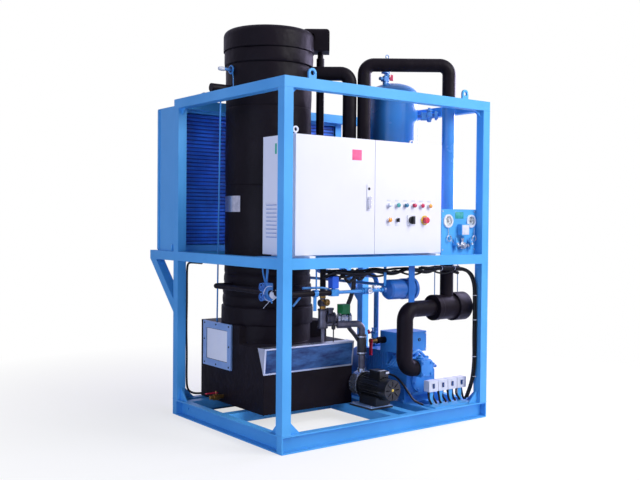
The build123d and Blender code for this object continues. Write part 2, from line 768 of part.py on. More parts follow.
def vessel_direction(x, y):
    """Unit vector from a point to the vessel's axis, level."""
    length = hypot(VESSEL_X - x, VESSEL_Y - y)
    return (VESSEL_X - x) / length, (VESSEL_Y - y) / length


def nozzle_face(x, y):
    """Middle of the flat end of the vessel's nozzle that faces a pipe standing at (x, y)."""
    dx, dy = vessel_direction(x, y)
    reach = VESSEL_R + NOZZLE_L
    return VESSEL_X - dx * reach, VESSEL_Y - dy * reach


def separator_vessel():
    """Welded vessel with domed heads, a skirt on a base ring, and two side nozzles."""
    low = MID_RAIL_TOP
    dome_low, dome_top = low + VESSEL_HEAD + 37, VESSEL_TOP - VESSEL_HEAD
    steps = 8
    head = [
        (VESSEL_R * cos(radians(90 * i / steps)), VESSEL_HEAD * sin(radians(90 * i / steps)))
        for i in range(steps)
    ]
    outline = [(0, dome_low - VESSEL_HEAD)]
    outline += [(r, dome_low - h) for r, h in reversed(head)]
    outline += [(r, dome_top + h) for r, h in head] + [(0, VESSEL_TOP)]
    vessel = turned(outline, VESSEL_X, VESSEL_Y)
    vessel += rod((VESSEL_X, VESSEL_Y, low), (VESSEL_X, VESSEL_Y, SKIRT_TOP), SKIRT_R)
    vessel += rod((VESSEL_X, VESSEL_Y, low), (VESSEL_X, VESSEL_Y, low + BASE_RING_T), BASE_RING_R)
    for (x, y), z in (((PIPE_A_X, PIPE_A_Y), VESSEL_INLET_Z), ((PIPE_B_X, PIPE_B_Y), VESSEL_OUTLET_Z)):
        vessel += rod((VESSEL_X, VESSEL_Y, z), (*nozzle_face(x, y), z), NOZZLE_R)
    return vessel


def vessel_valves():
    """Angle valve, safety valve and level fittings on the vessel's top and side."""
    x, y = VESSEL_X - 85, VESSEL_Y - 10
    seat = VESSEL_TOP - 24
    valve = rod((x, y, seat), (x, y, seat + 66), 15)
    valve += rod((x - 45, y, seat + 46), (x + 20, y, seat + 46), 12)
    valve += box(x - 20, x + 20, y - 18, y + 18, seat + 30, seat + 60)
    valve += rod((x, y, seat + 60), (x, y, seat + 96), STEM_R)
    sx, sy = VESSEL_X - 20, VESSEL_Y + 40
    top = VESSEL_TOP - 6
    safety = rod((sx, sy, top), (sx, sy, top + 120), 13)
    safety += rod((sx, sy, top + 40), (sx, sy, top + 92), 21)
    safety += rod((sx - 7, sy, top + 136), (sx + 7, sy, top + 136), 20, 11)
    fx, fz = VESSEL_X + VESSEL_R, LEVEL_VALVE_Z
    level = rod((fx - 6, VESSEL_Y, fz), (fx + 96, VESSEL_Y, fz), 11)
    level += box(fx + 20, fx + 62, VESSEL_Y - 18, VESSEL_Y + 18, fz - 26, fz + 26)
    level += rod((fx + 80, VESSEL_Y, fz - 20), (fx + 80, VESSEL_Y, fz + 22), 19)
    level = Pos(VESSEL_X, VESSEL_Y, 0) * Rot(0, 0, -45) * Pos(-VESSEL_X, -VESSEL_Y, 0) * level
    body = vessel_envelope()
    return [valve - body, safety - body, level - body]


def vessel_envelope():
    """The vessel as a full body, to cut what is welded on it."""
    return separator_vessel()


def insulated_pipes():
    """Foam-covered suction pipes, strainer and liquid pipe, in straight lengths and elbows."""
    outlet = (PIPE_A_X, PIPE_A_Y, TOWER_OUTLET_Z)
    inlet = nozzle_face(PIPE_A_X, PIPE_A_Y)
    run_a = pipe_pieces(
        [(TOWER_X, TOWER_Y, TOWER_OUTLET_Z), outlet, (PIPE_A_X, PIPE_A_Y, VESSEL_INLET_Z), (*inlet, VESSEL_INLET_Z)],
        PIPE_A_R, ELBOW_R,
    )
    run_a[0] -= tower_envelope()
    start = nozzle_face(PIPE_B_X, PIPE_B_Y)
    run_b = pipe_pieces(
        [(*start, VESSEL_OUTLET_Z), (PIPE_B_X, PIPE_B_Y, VESSEL_OUTLET_Z), (PIPE_B_X, PIPE_B_Y, PIPE_B_TOP),
         (RISER_X, RISER_Y, PIPE_B_TOP), (RISER_X, RISER_Y, FRAME_H)],
        PIPE_B_R, ELBOW_R,
    )
    neck_top = STRAINER_Z + STRAINER_NECK_R
    drop = rod((RISER_X, RISER_Y, MID_RAIL_Z - 10), (RISER_X, RISER_Y, STRAINER_Z), PIPE_B_R)
    neck_left, neck_right = STRAINER_LEFT + STRAINER_CAP_L, STRAINER_RIGHT - STRAINER_DRUM_L
    neck = rod((neck_left, RISER_Y, STRAINER_Z), (neck_right, RISER_Y, STRAINER_Z), STRAINER_NECK_R)
    strainer = [
        rod((STRAINER_LEFT, RISER_Y, STRAINER_Z), (neck_left, RISER_Y, STRAINER_Z), STRAINER_CAP_R),
        neck,
        rod((neck_right, RISER_Y, STRAINER_Z), (STRAINER_RIGHT, RISER_Y, STRAINER_Z), STRAINER_DRUM_R),
        drop - neck - box(neck_left, neck_right, 0, FRAME_D, 0, neck_top - STRAINER_NECK_R),
    ]
    lower = pipe_pieces(
        [(STRAINER_LEFT, RISER_Y, STRAINER_Z), (SUCTION_X, RISER_Y, STRAINER_Z),
         (SUCTION_X, RISER_Y, SUCTION_VALVE_Z), (COMP_LEFT, RISER_Y, SUCTION_VALVE_Z)],
        SUCTION_R, ELBOW_R + 10,
    )
    x, y, z = oil_valve_place()
    stubs = [rod((COMP_LEFT, y, z), (x + 40, y, z), 22)]
    stubs.append(rod((TOWER_X - 434, TOWER_Y, VENT_Z), (TOWER_X, TOWER_Y, VENT_Z), 27) - tower_envelope())
    liquid = pipe_pieces(
        [(SOLENOID_X - 25, LINE_Y, LINE_Z), (HAND_VALVE_X, LINE_Y, LINE_Z), (HAND_VALVE_X, HAND_VALVE_Y - 30, LINE_Z)],
        INSULATED_R, 30,
    )
    feed = pipe_pieces(
        [(HAND_VALVE_X, HAND_VALVE_Y + 30, LINE_Z), (HAND_VALVE_X, TOWER_Y, LINE_Z), (TOWER_X, TOWER_Y, LINE_Z)],
        INSULATED_R, 40,
    )
    feed[-1] -= tower_envelope()
    return run_a + run_b + strainer + lower + stubs + liquid + feed


def suction_riser():
    """Bare painted pipe from the top rail's height down to the strainer's pipe."""
    return rod((RISER_X, RISER_Y, MID_RAIL_Z - 10), (RISER_X, RISER_Y, FRAME_H), RISER_R)


def water_riser():
    """Thin insulated pipe from the water valves to the foam block beside the tower's cap."""
    header = Pos(HEADER_X, HEADER_Y, HEADER_TOP - HEADER_H / 2) * Rot(0, 0, HEADER_TURN) * Box(HEADER_L, HEADER_D, HEADER_H)
    header = fillet(header.edges().group_by(Axis.Z)[-1], 30)
    header -= tower_envelope()
    low, high = RISE_JOG_LOW, RISE_JOG_HIGH
    pieces = pipe_pieces(
        [(WATER_VALVE_X, WATER_VALVE_Y, BRASS_TOP), (WATER_VALVE_X, WATER_VALVE_Y, low),
         (RISE_X, RISE_Y, high), (RISE_X, RISE_Y, HEADER_TOP - HEADER_H)],
        RISE_PIPE_R, 60,
    )
    return [header, *pieces]


# Compressor


def compressor_body():
    """Motor barrel, crankcase, suction and discharge valves and feet, cast as one."""
    axis = (COMP_X, COMP_AXIS_Z)
    crank_back = COMP_FRONT + COMP_CRANK_L
    barrel = rod((axis[0], crank_back, axis[1]), (axis[0], COMP_BACK - 30, axis[1]), COMP_MOTOR_R)
    barrel += rod((axis[0], COMP_BACK - 30, axis[1]), (axis[0], COMP_BACK, axis[1]), COMP_MOTOR_R - 16)
    half = COMP_W / 2
    case = [
        (COMP_LEFT + 20, 145), (COMP_RIGHT - 20, 145), (COMP_RIGHT, 200), (COMP_RIGHT, 300),
        (COMP_X + half * 0.52, 372), (COMP_X - half * 0.52, 372), (COMP_LEFT, 300), (COMP_LEFT, 200),
    ]
    body = barrel + across_y(case, COMP_FRONT, crank_back)
    body += rod((axis[0], COMP_FRONT - 14, axis[1] - 20), (axis[0], COMP_FRONT, axis[1] - 20), 88)
    valve_low, valve_top = SUCTION_VALVE_Z - 55, SUCTION_VALVE_Z + 55
    body += box(COMP_LEFT, COMP_LEFT + 84, RISER_Y - 55, COMP_FRONT, valve_low, valve_top)
    body += box(COMP_LEFT, COMP_RIGHT, crank_back, crank_back + 220, COMP_AXIS_Z - 70, TERMINAL_Z)
    body += box(COMP_X - 30, COMP_X + 30, 670, 730, 340, 430)
    body += rod((COMP_RIGHT, crank_back - 90, 300), (COMP_RIGHT + 62, crank_back - 90, 300), 20)
    body += rod((COMP_RIGHT + 62, crank_back - 90, 300), (COMP_RIGHT + 110, crank_back - 90, 300), 10)
    rail_top = COMP_RAIL_Z + COMP_FOOT_T
    for y in (COMP_FRONT + 20, COMP_BACK - 110):
        body += box(COMP_LEFT, COMP_RIGHT, y, y + 60, rail_top, 190)
        body += box(COMP_LEFT - 10, COMP_RIGHT + 10, y, y + 60, COMP_RAIL_Z, rail_top)
    return body


def compressor_heads():
    """Two cylinder banks in a V with ribbed heads and their bolts."""
    pieces = []
    for side in (-1, 1):
        bank = box(-HEAD_W / 2, HEAD_W / 2, COMP_FRONT + 22, COMP_FRONT + 22 + HEAD_L, 60, 124)
        head = box(-HEAD_W / 2 - 6, HEAD_W / 2 + 6, COMP_FRONT + 16, COMP_FRONT + 28 + HEAD_L, 124, 124 + HEAD_H)
        head = fillet(head.edges().filter_by(Axis.Z), 14)
        for y in (COMP_FRONT + 36, COMP_FRONT + 22 + HEAD_L / 2, COMP_FRONT + 8 + HEAD_L):
            for x in (-HEAD_W / 2 + 10, HEAD_W / 2 - 10):
                head += rod((x, y, 124 + HEAD_H), (x, y, 132 + HEAD_H), 8)
        turn = Pos(COMP_X, 0, COMP_AXIS_Z - 32) * Rot(0, side * HEAD_ANGLE, 0)
        pieces.append(turn * (bank + head))
    body = compressor_body()
    return [piece - body for piece in pieces]


def compressor_terminal_box():
    """Electrical box on top of the motor housing."""
    cover = box(COMP_LEFT, COMP_RIGHT, TERMINAL_Y, TERMINAL_Y + TERMINAL_D, TERMINAL_Z, TERMINAL_Z + TERMINAL_H)
    cover = fillet(cover.edges().filter_by(Axis.Z), 8)
    return cover


# Water pump and water line


def pump_motor():
    """Finned motor with a hollow fan cover, foot and terminal box, bored for its shaft."""
    cover_back = PUMP_FRONT + FAN_COVER_L
    flange = PUMP_FRONT + PUMP_MOTOR_L
    barrel = rod((PUMP_X, cover_back, PUMP_Z), (PUMP_X, flange, PUMP_Z), PUMP_MOTOR_R - 8)
    for number in range(24):
        fin = box(PUMP_MOTOR_R - 12, PUMP_MOTOR_R, -1.5, 1.5, cover_back + 10, flange - 12)
        turn = Pos(PUMP_X, 0, PUMP_Z) * Rot(-90, 0, 0) * Rot(0, 0, 7.5 + number * 15)
        barrel += turn * (Pos(0, 0, 0) * fin)
    barrel += rod((PUMP_X, flange, PUMP_Z), (PUMP_X, flange + PUMP_FLANGE_T, PUMP_Z), PUMP_FLANGE_R)
    cover = rod((PUMP_X, PUMP_FRONT, PUMP_Z), (PUMP_X, cover_back, PUMP_Z), FAN_COVER_R)
    cover -= rod((PUMP_X, PUMP_FRONT + FAN_COVER_WALL, PUMP_Z), (PUMP_X, cover_back, PUMP_Z), FAN_COVER_R - FAN_COVER_WALL)
    cover -= slots(PUMP_X, PUMP_Z, PUMP_FRONT)
    base = box(PUMP_X - 60, PUMP_X + 60, cover_back + 28, flange - 12, COMP_RAIL_Z + PUMP_BASE_T, PUMP_Z - 50)
    plate = box(PUMP_X - 108, PUMP_X + 70, cover_back + 12, flange + 28, COMP_RAIL_Z, COMP_RAIL_Z + PUMP_BASE_T)
    terminal = box(PUMP_X - 36, PUMP_X + 36, cover_back + 20, cover_back + 120, PUMP_Z + 56, PUMP_Z + 106)
    motor = barrel + cover + base + plate + terminal
    return motor - rod((PUMP_X, cover_back - 1, PUMP_Z), (PUMP_X, flange + PUMP_FLANGE_T + 1, PUMP_Z), PUMP_SHAFT_R + RUNNING_CLEARANCE)


def slots(x, z, y):
    """Radial air slots through the face of the fan cover."""
    cut = box(22, FAN_COVER_R - 10, -3, 3, -1, FAN_COVER_WALL + 1)
    face = Plane(origin=(x, y, z), x_dir=(1, 0, 0), z_dir=(0, 1, 0)).location
    every = [face * (Rot(0, 0, number * 45) * cut) for number in range(8)]
    return every[0] + every[1:]


def pump_head():
    """Volute with an outlet upward and a suction elbow into the tank's side."""
    front = PUMP_FRONT + PUMP_MOTOR_L + PUMP_FLANGE_T
    head = rod((PUMP_X, front, PUMP_Z), (PUMP_X, PUMP_BACK, PUMP_Z), PUMP_HEAD_R)
    head += rod((PUMP_X, PUMP_OUT_Y, PUMP_Z), (PUMP_X, PUMP_OUT_Y, PUMP_Z + PUMP_HEAD_R + 18), WATER_PIPE_R + 6)
    head -= rod((PUMP_X, front - 1, PUMP_Z), (PUMP_X, PUMP_BACK - 12, PUMP_Z), IMPELLER_R + 4)
    suction = pipe_pieces(
        [(PUMP_X, PUMP_BACK, PUMP_Z), (PUMP_X, PUMP_BACK + 60, PUMP_Z), (BOX_RIGHT, PUMP_BACK + 60, PUMP_Z)],
        WATER_PIPE_R, 30,
    )
    return [head, *suction]


def pump_rotor():
    """Shaft with the cooling fan at its front end and the impeller at its back end."""
    fan_y = PUMP_FRONT + FAN_COVER_WALL + 14
    front = PUMP_FRONT + PUMP_MOTOR_L + PUMP_FLANGE_T
    rotor = rod((PUMP_X, fan_y, PUMP_Z), (PUMP_X, front + 34, PUMP_Z), PUMP_SHAFT_R)
    rotor += rod((PUMP_X, fan_y, PUMP_Z), (PUMP_X, fan_y + 22, PUMP_Z), 20)
    for number in range(6):
        vane = box(16, FAN_COVER_R - 9, -1, 1, 0, 20)
        turn = Plane(origin=(PUMP_X, fan_y, PUMP_Z), x_dir=(1, 0, 0), z_dir=(0, 1, 0)).location
        rotor += turn * (Rot(0, 0, number * 60) * vane)
    return rotor + rod((PUMP_X, front + 8, PUMP_Z), (PUMP_X, front + 34, PUMP_Z), IMPELLER_R)


def water_point(distance, z=WATER_Z):
    """Point on the level water line, counted from its elbow over the pump."""
    dx, dy = WATER_VALVE_X - PUMP_X, WATER_VALVE_Y - PUMP_OUT_Y
    length = hypot(dx, dy)
    return PUMP_X + dx / length * distance, PUMP_OUT_Y + dy / length * distance, z


def water_length():
    """Length of the level water line."""
    return hypot(WATER_VALVE_X - PUMP_X, WATER_VALVE_Y - PUMP_OUT_Y)


def water_hose():
    """Grey pipe from the pump up to the solenoid valve, with a black sleeve."""
    outlet = PUMP_Z + PUMP_HEAD_R + 18
    pieces = pipe_pieces(
        [(PUMP_X, PUMP_OUT_Y, outlet), (PUMP_X, PUMP_OUT_Y, WATER_Z), water_point(80)],
        WATER_PIPE_R, 40,
    )
    sleeve = rod((PUMP_X, PUMP_OUT_Y, 415), (PUMP_X, PUMP_OUT_Y, 540), SLEEVE_R, WATER_PIPE_R)
    return [*pieces, sleeve]


def water_valves():
    """Solenoid valve body, stop cock, filter pot and the brass regulating valve over it."""
    end = water_length()
    body = rod(water_point(80), water_point(168), STRAINER_BODY_R)
    body += rod(water_point(124), water_point(124, WATER_Z + 68), 12)
    link = rod(water_point(168), water_point(end - FILTER_R + 4), 14)
    low, top = WATER_Z - 24, BRASS_Z
    pot = rod((WATER_VALVE_X, WATER_VALVE_Y, low), (WATER_VALVE_X, WATER_VALVE_Y, top), FILTER_R)
    foot = rod((WATER_VALVE_X, WATER_VALVE_Y, BOX_LOW_TOP), (WATER_VALVE_X, WATER_VALVE_Y, low), 12)
    brass = rod((WATER_VALVE_X, WATER_VALVE_Y, BRASS_Z), (WATER_VALVE_X, WATER_VALVE_Y, BRASS_TOP), 17)
    brass += rod((WATER_VALVE_X - 26, WATER_VALVE_Y, BRASS_Z + 40), (WATER_VALVE_X + 38, WATER_VALVE_Y, BRASS_Z + 40), 22)
    return [body, link - pot, pot + foot, brass]


def water_coil():
    """Square coil of the water solenoid valve on its stem."""
    x, y, z = water_point(124, WATER_Z + 68)
    half = COIL_BOX / 2
    return box(x - half, x + half, y - half, y + half, z, z + COIL_BOX)


# Liquid line, valves and small fittings


def filter_drier():
    """Filter canister with turned ends, in a ring on a plate hung from the front middle rail."""
    end = DRIER_LEFT + DRIER_L
    outline = [
        (0, 0), (LINE_R + 5, 0), (LINE_R + 8, 16), (DRIER_R - 8, 30), (DRIER_R, 44),
        (DRIER_R, DRIER_L - 34), (DRIER_R + 8, DRIER_L - 34), (DRIER_R + 8, DRIER_L - 16), (0, DRIER_L - 16),
    ]
    can = turned_to(outline, (DRIER_LEFT, LINE_Y, LINE_Z), (1, 0, 0))
    left, right = end - 106, end - 58
    front = LINE_Y - DRIER_R - 6
    strap = rod((left, LINE_Y, LINE_Z), (right, LINE_Y, LINE_Z), DRIER_R + 3, DRIER_R)
    strap += box(left, right, front, front + 4, LINE_Z - DRIER_R - 18, MID_RAIL_Z)
    return [can, strap]


def liquid_line():
    """Bare liquid pipe with a sight glass and a solenoid valve body, and the pipes to the condenser."""
    sight = rod((SIGHT_X, LINE_Y, LINE_Z), (SIGHT_X + 56, LINE_Y, LINE_Z), 20)
    sight += rod((SIGHT_X + 28, LINE_Y - 30, LINE_Z), (SIGHT_X + 28, LINE_Y, LINE_Z), 17)
    left = rod((SOLENOID_X + 25, LINE_Y, LINE_Z), (SIGHT_X, LINE_Y, LINE_Z), LINE_R)
    right = rod((SIGHT_X + 56, LINE_Y, LINE_Z), (DRIER_LEFT, LINE_Y, LINE_Z), LINE_R)
    valve = box(SOLENOID_X - 25, SOLENOID_X + 25, LINE_Y - 20, LINE_Y + 20, LINE_Z - 20, LINE_Z + 20)
    drier_end = DRIER_LEFT + DRIER_L - 16
    return_x = drier_end + 45
    supply = pipe_pieces(
        [(drier_end, LINE_Y, LINE_Z), (return_x, LINE_Y, LINE_Z), (return_x, COND_FRONT + 130, LINE_Z),
         (return_x, COND_FRONT + 130, MID_RAIL_TOP)],
        LINE_R, 30,
    )
    discharge = pipe_pieces(
        [(COMP_X, 700, 430), (COMP_X, 700, 900), (COMP_X, COND_FRONT + 130, 900), (COMP_X, COND_FRONT + 130, MID_RAIL_TOP)],
        LINE_R + 7, 50,
    )
    return [sight, left, right, valve, *supply, *discharge]


def solenoid_coil():
    """Coil housing on the liquid solenoid valve."""
    x, z = SOLENOID_X, LINE_Z + 20
    coil = box(x - 23, x + 23, LINE_Y - 21, LINE_Y + 21, z + 4, z + 74)
    coil = fillet(coil.edges().filter_by(Axis.Y), 8)
    return coil + rod((x, LINE_Y, z), (x, LINE_Y, z + 4), 11)


def hand_valves():
    """Twin stop valve on the liquid line, stems pointing left."""
    x, y = HAND_VALVE_X, HAND_VALVE_Y
    block = box(x - 18, x + 18, y - 30, y + 30, LINE_Z - 45, LINE_Z + 55)
    for z in wheel_heights():
        block += rod((x - 18, y, z), (x - 26, y, z), 12)
        block += rod((x - 26, y, z), (x - 46, y, z), STEM_R)
    return block


def wheel_heights():
    """Height of each stem of the twin valve."""
    return LINE_Z - 24, LINE_Z + 32


def handwheel(origin, direction):
    """Ring, hub and three spokes, bored for the stem; it starts at origin and grows in direction."""
    rim = rod((0, 0, 0), (0, 0, 8), WHEEL_R, WHEEL_R - 5)
    wheel = rim + rod((0, 0, 0), (0, 0, 10), 8)
    for number in range(3):
        wheel += Rot(0, 0, number * 120) * box(5, WHEEL_R - 3, -2.5, 2.5, 1, 6)
    wheel -= rod((0, 0, -1), (0, 0, 11), STEM_R + RUNNING_CLEARANCE)
    return Plane(origin=origin, z_dir=direction).location * wheel


def ball_valves():
    """Oil valve at the compressor and the tank's drain valve, without their levers."""
    x, y, z = oil_valve_place()
    oil = rod((x + 40, y, z), (x, y, z), 16)
    oil += rod((x, y, z), (x - 14, y, z), 5)
    dy, dz = TOWER_Y + 60, 140
    drain = rod((BOX_LEFT, dy, dz), (BOX_LEFT - 96, dy, dz), 13)
    drain += rod((BOX_LEFT - 34, dy, dz), (BOX_LEFT - 70, dy, dz), 19)
    drain += rod((BOX_LEFT - 52, dy, dz), (BOX_LEFT - 52, dy, dz + 38), 5)
    return [oil, drain]


def oil_valve_place():
    """Face of the oil valve's bonnet."""
    return COMP_LEFT - 112, TERMINAL_Y + 143, TERMINAL_Z + 75


def oil_valve_lever():
    """Red lever that hangs from the oil valve's stem."""
    x, y, z = oil_valve_place()
    lever = box(x - 11, x - 3, y - 12, y + 12, z - 92, z)
    lever += rod((x - 11, y, z), (x - 3, y, z), 17)
    return lever - rod((x - 12, y, z), (x + 1, y, z), 5 + RUNNING_CLEARANCE)


def drain_valve_lever():
    """Red lever along the drain pipe."""
    x, y, z = BOX_LEFT - 52, TOWER_Y + 60, 140 + 26
    lever = box(x - 74, x, y - 10, y + 10, z, z + 7)
    lever += rod((x, y, z), (x, y, z + 7), 14)
    return lever - rod((x, y, z - 1), (x, y, z + 8), 5 + RUNNING_CLEARANCE)


# Control cabinet


def cabinet_shell():
    """Sheet steel box open at the front, with louvres on the left side and rings and feet."""
    front = CAB_FRONT + DOOR_T + DOOR_GAP
    t = CAB_SHEET
    shell = box(CAB_LEFT, CAB_RIGHT, front, CAB_BACK, CAB_Z, CAB_TOP)
    shell -= box(CAB_LEFT + t, CAB_RIGHT - t, front - 1, CAB_BACK - t, CAB_Z + t, CAB_TOP - t)
    for row in range(9):
        z = 1182 + row * 23
        hood = [(CAB_LEFT, z), (CAB_LEFT - 6, z + 2), (CAB_LEFT, z + 14)]
        shell += across_y(hood, 240, 352)
    for x, y in ((CAB_LEFT + 34, 112), (CAB_RIGHT - 38, 300)):
        shell += rod((x, y, CAB_TOP), (x, y, CAB_TOP + 14), 6)
        shell += rod((x, y - 4, CAB_TOP + 28), (x, y + 4, CAB_TOP + 28), 19, 11)
    for x in (CAB_LEFT + 60, CAB_RIGHT - 100):
        shell += box(x, x + 40, 4, CAB_BACK - 4, MID_RAIL_TOP, CAB_Z)
    return shell


def door(x0, x1):
    """Door pan: a front sheet with edges folded back."""
    t = DOOR_SHEET
    low, top = CAB_Z + 2, CAB_TOP - 2
    pan = box(x0, x1, CAB_FRONT, CAB_FRONT + DOOR_T, low, top)
    return pan - box(x0 + t, x1 - t, CAB_FRONT + t, CAB_FRONT + DOOR_T + 1, low + t, top - t)


def left_door():
    """Left door with the raised plate that carries the handle."""
    split = CAB_LEFT + DOOR_SPLIT
    pan = door(CAB_LEFT, split - DOOR_MEET_GAP / 2)
    pan += box(HANDLE_X - 15, HANDLE_X + 15, CAB_FRONT - 4, CAB_FRONT, HANDLE_Z - 70, HANDLE_Z + 80)
    pan -= rod((HANDLE_X, CAB_FRONT - 5, HANDLE_Z), (HANDLE_X, CAB_FRONT + DOOR_SHEET + 1, HANDLE_Z), 6.1)
    return pan - rod((HANDLE_X, CAB_FRONT - 5, HANDLE_Z + 56), (HANDLE_X, CAB_FRONT - 1, HANDLE_Z + 56), 9)


def door_handle():
    """Swing handle on its spindle, with the latch tongue behind the door."""
    y = CAB_FRONT - 4
    lever = box(HANDLE_X - 9, HANDLE_X + 9, y - 12, y - 0.3, HANDLE_Z - 62, HANDLE_Z + 12)
    lever = fillet(lever.edges().filter_by(Axis.Y), 6)
    lever += rod((HANDLE_X, y - 1, HANDLE_Z), (HANDLE_X, CAB_FRONT + 16, HANDLE_Z), 6)
    return lever + box(HANDLE_X - 8, HANDLE_X + 8, CAB_FRONT + 10, CAB_FRONT + 14, HANDLE_Z - 6, HANDLE_Z + 40)


def operators():
    """Place of each operator on the right door, as (name, x, z)."""
    high = [OPERATOR_X + OPERATOR_PITCH * n for n in range(6)]
    return [
        ("lamp", high[0], ROW_HIGH_Z), ("lamp", high[1], ROW_HIGH_Z), ("button", high[2], ROW_HIGH_Z),
        ("button", high[3], ROW_HIGH_Z), ("lamp", high[4], ROW_HIGH_Z), ("lamp", high[5], ROW_HIGH_Z),
        ("lamp", high[0], ROW_LOW_Z), ("selector", high[1], ROW_LOW_Z), ("switch", switch_x(), ROW_LOW_Z),
        ("stop", stop_x(), ROW_LOW_Z),
    ]


def switch_x():
    """Middle of the main switch."""
    return OPERATOR_X + OPERATOR_PITCH * 2.68


def stop_x():
    """Middle of the emergency stop."""
    return OPERATOR_X + OPERATOR_PITCH * 4.42


def right_door():
    """Right door with a hole for each operator."""
    pan = door(CAB_LEFT + DOOR_SPLIT + DOOR_MEET_GAP / 2, CAB_RIGHT)
    for name, x, z in operators():
        pan -= rod((x, CAB_FRONT - 1, z), (x, CAB_FRONT + DOOR_SHEET + 1, z), PANEL_HOLE_R)
    return pan


def operator_bodies():
    """Bezel, neck and contact block of every operator, and the lens of every lamp."""
    pieces = []
    y = CAB_FRONT
    for name, x, z in operators():
        bezel_r = STOP_RING_R if name == "stop" else BEZEL_R
        proud = 3 if name == "stop" else 8
        if name == "switch":
            half = SWITCH_PLATE / 2
            bezel = box(x - half, x + half, y - 6, y, z - half, z + half)
            proud = 6
        else:
            bezel = rod((x, y - proud, z), (x, y, z), bezel_r)
        body = bezel + rod((x, y, z), (x, y + 14, z), OPERATOR_NECK_R)
        body += box(x - 14, x + 14, y + 12, y + 40, z - 14, z + 14)
        if name != "lamp":
            body -= rod((x, y - 9, z), (x, y + 13, z), OPERATOR_BORE_R)
        else:
            body += rod((x, y - 15, z), (x, y - proud, z), CAP_R)
        pieces.append(body)
    return pieces


def push_button(number):
    """Cap of a push-button, guided in its bezel."""
    name, x, z = operators()[number]
    cap = rod((x, CAB_FRONT - 12, z), (x, CAB_FRONT + 8, z), CAP_R)
    return fillet(cap.edges().sort_by(Axis.Y)[0], 1.5)


def selector_knob():
    """Two-position selector with a grip bar."""
    name, x, z = operators()[7]
    knob = rod((x, CAB_FRONT - 14, z), (x, CAB_FRONT + 8, z), CAP_R)
    return knob + box(x - 3, x + 3, CAB_FRONT - 24, CAB_FRONT - 12, z - 12, z + 12)


def main_switch_knob():
    """Rotary main switch handle on its plate."""
    name, x, z = operators()[8]
    plate = CAB_FRONT - 6 - 0.3
    knob = rod((x, plate - 14, z), (x, plate, z), 22)
    knob += box(x - 7, x + 7, plate - 30, plate - 10, z - 24, z + 24)
    return knob + rod((x, plate - 1, z), (x, CAB_FRONT + 8, z), CAP_R)


def emergency_stop():
    """Mushroom head on its stem."""
    name, x, z = operators()[9]
    stem = rod((x, CAB_FRONT - 16, z), (x, CAB_FRONT + 7, z), CAP_R)
    head = rod((x, CAB_FRONT - 32, z), (x, CAB_FRONT - 14, z), STOP_HEAD_R)
    return stem + fillet(head.edges().sort_by(Axis.Y)[0], 6)


def switchgear():
    """Mounting plate with three rows of breakers, contactors and a controller on rails."""
    back = CAB_BACK - CAB_SHEET
    plate = box(CAB_LEFT + 30, CAB_RIGHT - 30, back - 16, back - 13, CAB_Z + 30, CAB_TOP - 30)
    for x in (CAB_LEFT + 50, CAB_RIGHT - 60):
        for z in (CAB_Z + 50, CAB_TOP - 60):
            plate += box(x, x + 10, back - 13, back, z, z + 10)
    pieces = [plate]
    face = back - 16
    for z, width, depth, count in ((1610, 54, 70, 12), (1400, 76, 90, 9), (1200, 100, 80, 6)):
        pieces.append(box(CAB_LEFT + 60, CAB_RIGHT - 60, face - 8, face, z + 25, z + 60))
        pitch = (CAB_W - 180) / count
        for number in range(count):
            x = CAB_LEFT + 90 + number * pitch
            pieces.append(box(x, x + width, face - 8 - depth, face - 8, z, z + 90))
    return pieces


# Gauge panel


def gauge_panel():
    """Plate behind the front middle rail with a pressure control and two small stop cocks."""
    back = TUBE + PANEL_T
    plate = box(PANEL_LEFT, PANEL_LEFT + PANEL_W, TUBE, back, PANEL_LOW_Z, PANEL_TOP)
    for x in GAUGE_X:
        plate -= rod((x, TUBE - 1, GAUGE_Z), (x, back + 1, GAUGE_Z), GAUGE_BODY_R + 0.3)
    control = box(1402, 1472, TUBE - 40, TUBE, 1190, 1264)
    control = fillet(control.edges().filter_by(Axis.Y), 5)
    pieces = [plate, control]
    for x in (1372, 1504):
        cock = rod((x, TUBE - 18, 1100), (x, TUBE - 18, 1176), 7)
        cock += box(x - 11, x + 11, TUBE - 30, TUBE, 1126, 1150)
        pieces.append(cock)
    return pieces


def gauge_cases():
    """Two flush gauges: flange in front, body through the plate, pocket for dial and pointer."""
    pieces = []
    for x in GAUGE_X:
        case = rod((x, TUBE - 10, GAUGE_Z), (x, TUBE, GAUGE_Z), GAUGE_FLANGE_R)
        case += rod((x, TUBE, GAUGE_Z), (x, TUBE + GAUGE_DEPTH, GAUGE_Z), GAUGE_BODY_R)
        case -= rod((x, TUBE - 11, GAUGE_Z), (x, TUBE + 2, GAUGE_Z), GAUGE_BODY_R - GAUGE_LIP)
        case += rod((x, TUBE - 5, GAUGE_Z), (x, TUBE + 2, GAUGE_Z), 1.5)
        case += rod((x, TUBE + GAUGE_DEPTH, GAUGE_Z), (x, TUBE + GAUGE_DEPTH + 18, GAUGE_Z), 6)
        pieces.append(case)
    return pieces


def gauge_pointer(x):
    """Pointer on the gauge's spindle."""
    needle = [(-3, -10), (3, -10), (1, GAUGE_BODY_R - 9), (-1, GAUGE_BODY_R - 9)]
    hand = across_y([(x + u, GAUGE_Z + v) for u, v in needle], TUBE - 4, TUBE - 3)
    hand += rod((x, TUBE - 4, GAUGE_Z), (x, TUBE - 1, GAUGE_Z), 4)
    return hand - rod((x, TUBE - 6, GAUGE_Z), (x, TUBE, GAUGE_Z), 1.5 + RUNNING_CLEARANCE)


# Small boxes, thin lines and cables


def small_box_places():
    """Left side of each small control box."""
    return [SMALL_BOX_LEFT + number * SMALL_BOX_PITCH for number in range(SMALL_BOXES)]


